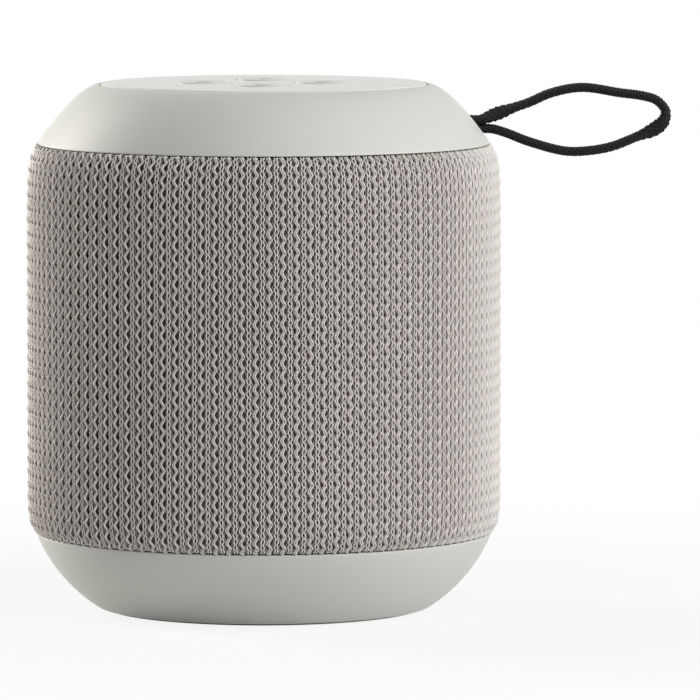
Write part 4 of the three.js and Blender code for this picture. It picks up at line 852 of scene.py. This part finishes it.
def make_backing():
    """The inner face of the cloth, seen through the knit's holes, coloured darker in part as painted shade
    for the holes.
    """
    turns, steps = 360, 96
    s = np.linspace(0.6, FABRIC_LENGTH - 0.6, steps)
    angle = np.linspace(0, TAU, turns, endpoint=False)
    outer, inner = (on_sleeve(angle[:, None], s[None], np.full((1, steps), h)) for h in BACKING_H)
    clear = clear_of_port(outer)
    index = np.arange(turns * steps).reshape(turns, steps)
    turn = np.roll(index, -1, axis=0)
    clear_next = np.roll(clear, -1, axis=0)
    solid = clear[:, :-1] & clear[:, 1:] & clear_next[:, :-1] & clear_next[:, 1:]
    quads = np.stack([index[:, :-1], turn[:, :-1], turn[:, 1:], index[:, 1:]], axis=-1)[solid]
    count = turns * steps
    edges = dict.fromkeys(edge for q in quads.tolist() for edge in zip(q, q[1:] + q[:1]))
    rim = [[b, a, a + count, b + count] for a, b in edges if (b, a) not in edges]
    faces = quads.tolist() + (quads[:, ::-1] + count).tolist() + rim
    used = sorted({c for f in faces for c in f})
    number = {c: i for i, c in enumerate(used)}
    both = np.concatenate([outer.reshape(-1, 3), inner.reshape(-1, 3)])
    faces = [[number[c] for c in f] for f in faces]
    return piece("fabric_backing", both[used], faces, "knit_back_painted_shade", slot="knit", replaces=["fabric_sleeve"])


knit = make_yarns("fabric_knit", 11, [(chain_yarns, 0, 6, 6), (zigzag_yarns, 0.5, 5, 6)], "knit")
# The inner yarns are coloured darker than the outer yarns as painted shade.
knit += make_yarns("fabric_inner", 5, [(inner_yarns, 0, 4, 4)], "knit_inner_painted_shade")
backing = make_backing()

# ---- Caps, foot and control plate ----


def radius_at(profile, height):
    z = [p[1] for p in profile]
    order = np.argsort(z)
    return float(np.interp(height, np.array(z)[order], np.array([p[0] for p in profile])[order]))


# Each cap's outline is one Bezier curve, and its edges are rounded by this much
EDGE_ROUND = 0.35
TOP_EDGE = (PLATE_RECESS, PLATE_RECESS_EDGE_Z)
TOP_RIM = (TOP_RIM_RADIUS, TOP_RIM_Z)
TOP_CURVE = (TOP_RIM, (39.518, 90.255), (34.086, 97.226), TOP_EDGE)
TOP_EDGE_END = (PLATE_RECESS, 97.2)
BOTTOM_EDGE = (BOTTOM_EDGE_RADIUS, FOOT_PROUD)
BOTTOM_RIM = (BOTTOM_RIM_RADIUS, BOTTOM_RIM_Z)
BOTTOM_CURVE = (BOTTOM_EDGE, (35.303, 3.0), (40.359, 8.416), BOTTOM_RIM)
SLOT_SIZE = (3.6, 4.0, 0.5)  # width, height and corner
SLOT_FLARE = 2.6
LEG_AZIMUTHS = (-90, 30, 150)


def make_top_cap():
    outer = bezier(*TOP_CURVE, 28, 0.03, 0.965)
    wall = offset(bezier(*TOP_CURVE, 28), CAP_WALL)
    inner = [p for p in wall if TOP_RIM_Z + 0.5 < p[1] < LEDGE_Z - 0.4]
    profile = (
        rounded((TOP_RIM_RADIUS - EDGE_ROUND, TOP_RIM_Z), TOP_RIM, outer[0])
        + outer[1:-1]
        + rounded(outer[-1], TOP_EDGE, TOP_EDGE_END)
        + [(PLATE_RECESS, LEDGE_TOP_Z), (LEDGE_BORE, LEDGE_TOP_Z), (LEDGE_BORE, LEDGE_Z)]
        + [(radius_at(wall, LEDGE_Z), LEDGE_Z)]
        + inner[::-1]
        + [(radius_at(wall, TOP_RIM_Z), TOP_RIM_Z)]
    )
    cap = piece("top_cap_shell", *turned(profile, 256), "shell_plastic", replaces=["top_cap"])
    turn = Matrix.Rotation(STRAP_AZIMUTH, 4, "Z")
    width, height, corner = SLOT_SIZE
    rings = []
    for reach, grow in ((LEDGE_BORE, 0), (SLOT_MOUTH - 1.2, 0), (SLOT_MOUTH + 8, SLOT_FLARE)):
        shape = stadium(width + 2 * grow, height + 2 * grow, corner + grow)
        rings.append([tuple(turn @ Vector((reach, y, STRAP_Z + z))) for y, z in shape])
    cut(cap, "DIFFERENCE", tool(*lofted(rings)))
    dress(cap, "shell_plastic", body=None, crease=30)


def make_bottom_cap():
    outer = bezier(*BOTTOM_CURVE, 32, 0.02, 0.97)
    wall = offset(bezier(*BOTTOM_CURVE, 32), CAP_WALL)
    inner = [p for p in wall if CAP_FLOOR_Z + 0.3 < p[1] < BOTTOM_RIM_Z - 0.3]
    profile = (
        [(0, PAD_RECESS_Z), (PAD_RECESS_RADIUS, PAD_RECESS_Z), (PAD_RECESS_RADIUS, FOOT_PROUD)]
        + rounded((BOTTOM_EDGE_RADIUS - EDGE_ROUND, FOOT_PROUD), BOTTOM_EDGE, outer[0])
        + outer[1:-1]
        + rounded(outer[-1], BOTTOM_RIM, (BOTTOM_RIM_RADIUS - EDGE_ROUND, BOTTOM_RIM_Z))
        + [(radius_at(wall, BOTTOM_RIM_Z), BOTTOM_RIM_Z)]
        + inner[::-1]
        + [(radius_at(wall, CAP_FLOOR_Z), CAP_FLOOR_Z), (0, CAP_FLOOR_Z)]
    )
    cap = piece("bottom_cap_shell", *turned(profile, 256), "shell_plastic", replaces=["bottom_cap"])
    for azimuth in map(math.radians, LEG_AZIMUTHS):
        x, y = LEG_CIRCLE * math.cos(azimuth), LEG_CIRCLE * math.sin(azimuth)
        for radius, top in ((SCREW_HEAD_HOLE, 2.8), (SCREW_HOLE, 5)):
            cut(cap, "DIFFERENCE", tool(*upright_rod(radius, x, y, 0, top)))
    dress(cap, "shell_plastic", body=None, crease=30)


def make_foot():
    profile = [(0, 0)]
    for r in (8, 16, 24):
        profile += [(r - 0.6, 0), (r - 0.3, 0.25), (r + 0.3, 0.25), (r + 0.6, 0)]
    profile += rounded((FOOT_RADIUS - 0.3, 0), (FOOT_RADIUS, 0), (FOOT_RADIUS, 0.3))
    profile += [(FOOT_RADIUS, FOOT_TOP_Z), (0, FOOT_TOP_Z)]
    piece("foot_pad_ribbed", *turned(profile), "grey_rubber", replaces=["foot_pad"])


KEYS = {
    "volume_up": (KEY_CIRCLE, 0),
    "play": (0, KEY_CIRCLE),
    "volume_down": (-KEY_CIRCLE, 0),
    "power": (0, -KEY_CIRCLE),
}
PLATE_ROUND = 0.5
# The lip of a key's hole: height from the plate's top, and how much wider the hole is there
KEY_HOLE_LIP = ((PLATE_Z - TOP_Z - 1, 0), (-0.25, 0), (-0.1, 0.05), (0, 0.18), (0.2, 0.5))


def make_plate():
    low, side = (PLATE_RADIUS, TOP_Z - PLATE_ROUND), (PLATE_RADIUS, TOP_Z)
    profile = (
        [(0, PLATE_Z), (PLATE_RADIUS, PLATE_Z)]
        + rounded(low, side, (PLATE_RADIUS - PLATE_ROUND, TOP_Z), 6)
        + [(0, TOP_Z)]
    )
    # The plate's finish is coloured lighter than the caps as painted light from above.
    plate = piece("control_plate_disc", *turned(profile, 256), "plate_plastic", replaces=["control_plate"])
    for x, y in KEYS.values():
        rings = [circle(KEY_HOLE + grow, TOP_Z + rise, 96, x, y) for rise, grow in KEY_HOLE_LIP]
        cut(plate, "DIFFERENCE", tool(*lofted(rings)))
    dress(plate, "plate_plastic", body=None, crease=30)


def bar(width, height):
    return stadium(width, height, min(width, height) * 0.45, 4)


def arc_band(radius, width, start, end, n=28):
    outer = [(radius + width / 2, a) for a in np.linspace(start, end, n)]
    inner = [(radius - width / 2, a) for a in np.linspace(end, start, n)]
    return [(r * math.cos(a), r * math.sin(a)) for r, a in outer + inner]


# The parts of each key's sign, with how far each is moved towards the back.
SYMBOLS = {
    "volume_up": [(bar(3.0, 0.42), 0), (bar(0.42, 3.0), 0)],
    "volume_down": [(bar(3.0, 0.42), 0)],
    "play": [(outline((-0.95, -1.35, 0.2), (1.4, 0, 0.2), (-0.95, 1.35, 0.2)), 0)],
    "power": [(arc_band(1.35, 0.42, math.radians(125), math.radians(415)), -0.25), (bar(0.42, 1.6), 0.35)],
}
SYMBOL_RISE = 0.1
KEY_ROUND = 0.4


def make_symbol(name, x, y):
    """The raised sign in the dish of a key."""
    dish = KEY_TOP_Z - KEY_DISH
    sign = None
    for shape, back in SYMBOLS[name]:
        rings = [[(x + px, y + py + back, z) for px, py in shape] for z in (dish - 0.3, dish + SYMBOL_RISE)]
        part = tool(*lofted(rings))
        sign = cut(sign, "UNION", part) if sign else part
    sign.name = f"{name}_symbol"
    sign.data.name = sign.name
    dress(sign, "symbol", body=name, crease=30)


def make_keys():
    rim = (KEY_RADIUS, KEY_TOP_Z)
    for name, (x, y) in KEYS.items():
        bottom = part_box(f"{name}_key")[0].z / MM
        dish = [(r, KEY_TOP_Z - KEY_DISH * (1 - (r / 4.6) ** 2)) for r in np.linspace(4.5, 0, 8)]
        profile = (
            [(0, bottom), (1.6, bottom), (1.6, bottom + 2.7), (6, bottom + 2.7), (6, bottom + 3.8)]
            + [(KEY_RADIUS, bottom + 3.8)]
            + rounded((KEY_RADIUS, KEY_TOP_Z - KEY_ROUND), rim, (KEY_RADIUS - KEY_ROUND, KEY_TOP_Z), 5)
            + [(float(r), float(z)) for r, z in dish]
        )
        points, faces = turned(profile, 96)
        points = [(px + x, py + y, pz) for px, py, pz in points]
        piece(f"{name}_button", points, faces, "key_rubber", body=name, replaces=[f"{name}_key"], crease=40)
        make_symbol(name, x, y)


make_top_cap()
make_bottom_cap()
make_foot()
make_plate()
make_keys()

# ---- Charging port ----


def port_shell(inner, outer):
    """A wall between two radii that is a little taller than the port's panel, on the port's side."""
    profile = [(inner, PORT_Z - 9), (outer, PORT_Z - 9), (outer, PORT_Z + 9), (inner, PORT_Z + 9)]
    return tool(*turned(profile, 720))


def port_bar(width, height, corner, front, back, x=0.0, steps=10):
    shape = stadium(width, height, corner, steps)
    return tool(*lofted([[(x + px, y, PORT_Z + pz) for px, pz in shape] for y in (back, front)]))


# The section of the lip by which the cover is opened, clockwise
FINGER_LIP = ((-6.4, 44.2), (-6.1, 44.42), (-5.8, 44.25), (-5.7, 43.0), (-6.6, 43.0))


def make_port():
    """The port's panel with its pocket and posts, and the cover that turns on its hinge."""
    bezel = port_shell(CAGE_BORE, BEZEL_RADIUS)
    cut(bezel, "INTERSECT", port_bar(BEZEL_WIDTH, BEZEL_HEIGHT, BEZEL_CORNER, 0, 60))
    pocket = port_shell(POCKET_RADIUS, 60)
    cut(pocket, "INTERSECT", port_bar(*POCKET_SIZE, 0, 70, steps=3))
    cut(bezel, "DIFFERENCE", pocket)
    cut(bezel, "DIFFERENCE", tool(*upright_rod(HINGE_RECESS, *HINGE, PORT_Z - 4, PORT_Z + 4)))
    cut(bezel, "DIFFERENCE", port_bar(*MOUTH_SIZE, 30, 60))
    bevel(bezel, 0.3, 3, 50)
    cut(bezel, "DIFFERENCE", tool(*upright_rod(PANEL_PIN_HOLE, *HINGE, PORT_Z - 5.3, PORT_Z + 5.3)))
    for side in (-1, 1):
        cut(bezel, "UNION", port_bar(*POST_SIZE, POST_BACK, CAGE_BORE + 0.4, side * POST_PLACE))
    bezel.name = "port_panel"
    dress(bezel, "dark_plastic", replaces=["port_bezel"], crease=30)

    cover = port_shell(COVER_RADIUS - COVER_THICKNESS, COVER_RADIUS)
    low, high = PORT_Z - COVER_HALF_HEIGHT, PORT_Z + COVER_HALF_HEIGHT
    cut(cover, "INTERSECT", tool(*block((COVER_FREE_EDGE, 0, low), (HINGE[0], 60, high))))
    cut(cover, "UNION", tool(*upright_rod(HINGE_BARREL, *HINGE, low, high)))
    bevel(cover, 0.35, 3, 50)
    lip = tool(*lofted([[(x, y, z) for x, y in FINGER_LIP] for z in (PORT_Z - 2.4, PORT_Z + 2.4)]))
    bevel(lip, 0.12, 2, 50)
    cut(cover, "UNION", lip)
    cut(cover, "DIFFERENCE", tool(*upright_rod(COVER_PIN_HOLE, *HINGE, PORT_Z - 5, PORT_Z + 5)))
    cover.name = "port_flap"
    dress(cover, "black_rubber", body="port_door", replaces=["port_cover"], crease=30)


CONTACT_PITCH = 0.5
CONTACT_LEVEL = 0.35


def make_socket():
    """The plated shell of the USB-C socket with its tongue and contacts."""
    low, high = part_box("usb_socket")
    back, front = low.y / MM, high.y / MM

    def ring(width, height, y):
        return [(x, y, PORT_Z + z) for x, z in stadium(width, height, 0.49 * height, 10)]

    rings = [
        ring(8.94, 3.2, back),
        ring(8.94, 3.2, front - 0.1),
        ring(8.84, 3.1, front),
        ring(8.44, 2.7, front),
        ring(8.34, 2.6, front - 0.1),
        ring(8.34, 2.6, back + 1),
    ]
    points, faces = lofted([r[::-1] for r in rings])
    shell = tool(points, faces)
    section = stadium(6.5, 0.7, 0.2, 4)[::-1]
    tongue = [[(x, y, PORT_Z + z) for x, z in section] for y in (back + 0.5, front - 0.3)]
    cut(shell, "UNION", tool(*lofted(tongue)))
    shell.name = "usb_c_shell"
    dress(shell, "steel", replaces=["usb_socket"], crease=30)
    contact_points, contact_faces = [], []
    for z in (PORT_Z - CONTACT_LEVEL, PORT_Z + CONTACT_LEVEL):
        for k in range(12):
            x = (k - 5.5) * CONTACT_PITCH
            points, faces = block((x - 0.14, back + 1.1, z - 0.04), (x + 0.14, front - 0.6, z + 0.04))
            contact_faces += [[c + len(contact_points) for c in f] for f in faces]
            contact_points += points
    piece("usb_c_contacts", contact_points, contact_faces, "copper")


make_port()
make_socket()

# ---- Soft rings of the driver and radiator ----


def roll_profile(inner, start, end, outer, thickness, side, level, steps=16):
    """A rubber ring's section: two flat flanges and a half-round roll between them."""
    middle, reach = (start + end) / 2, (end - start) / 2
    near = 0 if side > 0 else thickness
    far = thickness - near
    angles = np.linspace(math.pi, 0, steps + 1)

    def arc(radius):
        return [(middle + radius * math.cos(a), near + side * radius * math.sin(a)) for a in angles]

    outside = arc(reach)
    outside[0] = (outside[0][0], far)
    outside[-1] = (outside[-1][0], far)
    lower = [(inner, near)] + arc(reach - thickness) + [(outer, near)]
    upper = [(outer, far)] + outside[::-1] + [(inner, far)]
    return [(r, z + level) for r, z in lower + upper]


def spider_profile(inner, start, end, outer, thickness, level, waves=4, steps=32):
    """A cloth ring's section: two flat flanges and shallow waves between them."""
    share = np.linspace(0, 1, steps + 1)
    wave = [(start + (end - start) * t, 0.45 * math.sin(TAU * waves / 2 * t)) for t in share]
    lower = [(inner, 0.0)] + wave + [(outer, 0.0)]
    upper = [(r, z + thickness) for r, z in lower[::-1]]
    return [(float(r), float(z + level)) for r, z in lower + upper]


def soft_ring(name, profile, material, node):
    """A ring turned from a profile, which takes the place of a CAD node."""
    points, faces = turned(profile, 144)
    made = piece(name, points, faces, material, body=None, replaces=[node], crease=50)
    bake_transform(made)
    co = np.zeros(len(made.data.vertices) * 3, np.float32)
    made.data.vertices.foreach_get("co", co)
    co = co.reshape(-1, 3)


def make_soft_rings():
    """Rings given by the radii of their inner edge, their moving part's two ends and their outer edge."""
    inner, start, end, outer = 20.4, 21.7, 24.9, 26.9
    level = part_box("driver_surround")[0].z / MM
    profile = roll_profile(inner, start, end, outer, 0.4, 1, level)
    soft_ring("driver_roll", profile, "black_rubber", "driver_surround")

    inner, start, end, outer = 9.6, 11.2, 16.7, 20.3
    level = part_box("driver_spider")[0].z / MM + 0.5
    profile = spider_profile(inner, start, end, outer, 0.4, level)
    soft_ring("driver_spider_ring", profile, "spider_cloth", "driver_spider")

    inner, start, end, outer = 14.2, 16.7, 21.1, 23.3
    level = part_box("radiator_surround")[1].z / MM - 0.7
    profile = roll_profile(inner, start, end, outer, 0.7, -1, level)
    soft_ring("radiator_roll", profile, "black_rubber", "radiator_surround")


make_soft_rings()

# ---- Finishes of the CAD nodes that stay ----

NODE_FINISHES = {
    "dark_plastic": ["chamber_", "battery_saddle", "sound_diffuser", "grille_cage"],
    "black_rubber": ["driver_gasket", "wiring_harness"],
    "steel": ["_screw", "radiator_plate", "driver_pole_plate", "port_hinge_pin", "strap_crimp"],
    "dark_steel": ["driver_basket", "driver_yoke", "power_inductor"],
    "magnet_metal": ["driver_magnet"],
    "paper_cone": ["driver_cone", "driver_dust_cap"],
    "copper": ["voice_coil"],
    "circuit_board": ["main_board", "port_board"],
    "chip_epoxy": ["amplifier_chip", "_switch"],
    "can_aluminium": ["bluetooth_module", "filter_capacitor"],
    "cell_sleeve": ["battery_cell"],
    "clear_plastic": ["light_pipe", "_plunger"],
    "light_lens": ["status_light", "harness_plug"],
}

for name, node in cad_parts.items():
    wanted = [look for look, parts in NODE_FINISHES.items() if any(part in name for part in parts)]
    assert wanted or node.hide_render, name
    if wanted:
        node.data.materials.clear()
        node.data.materials.append(FINISHES[wanted[0]])
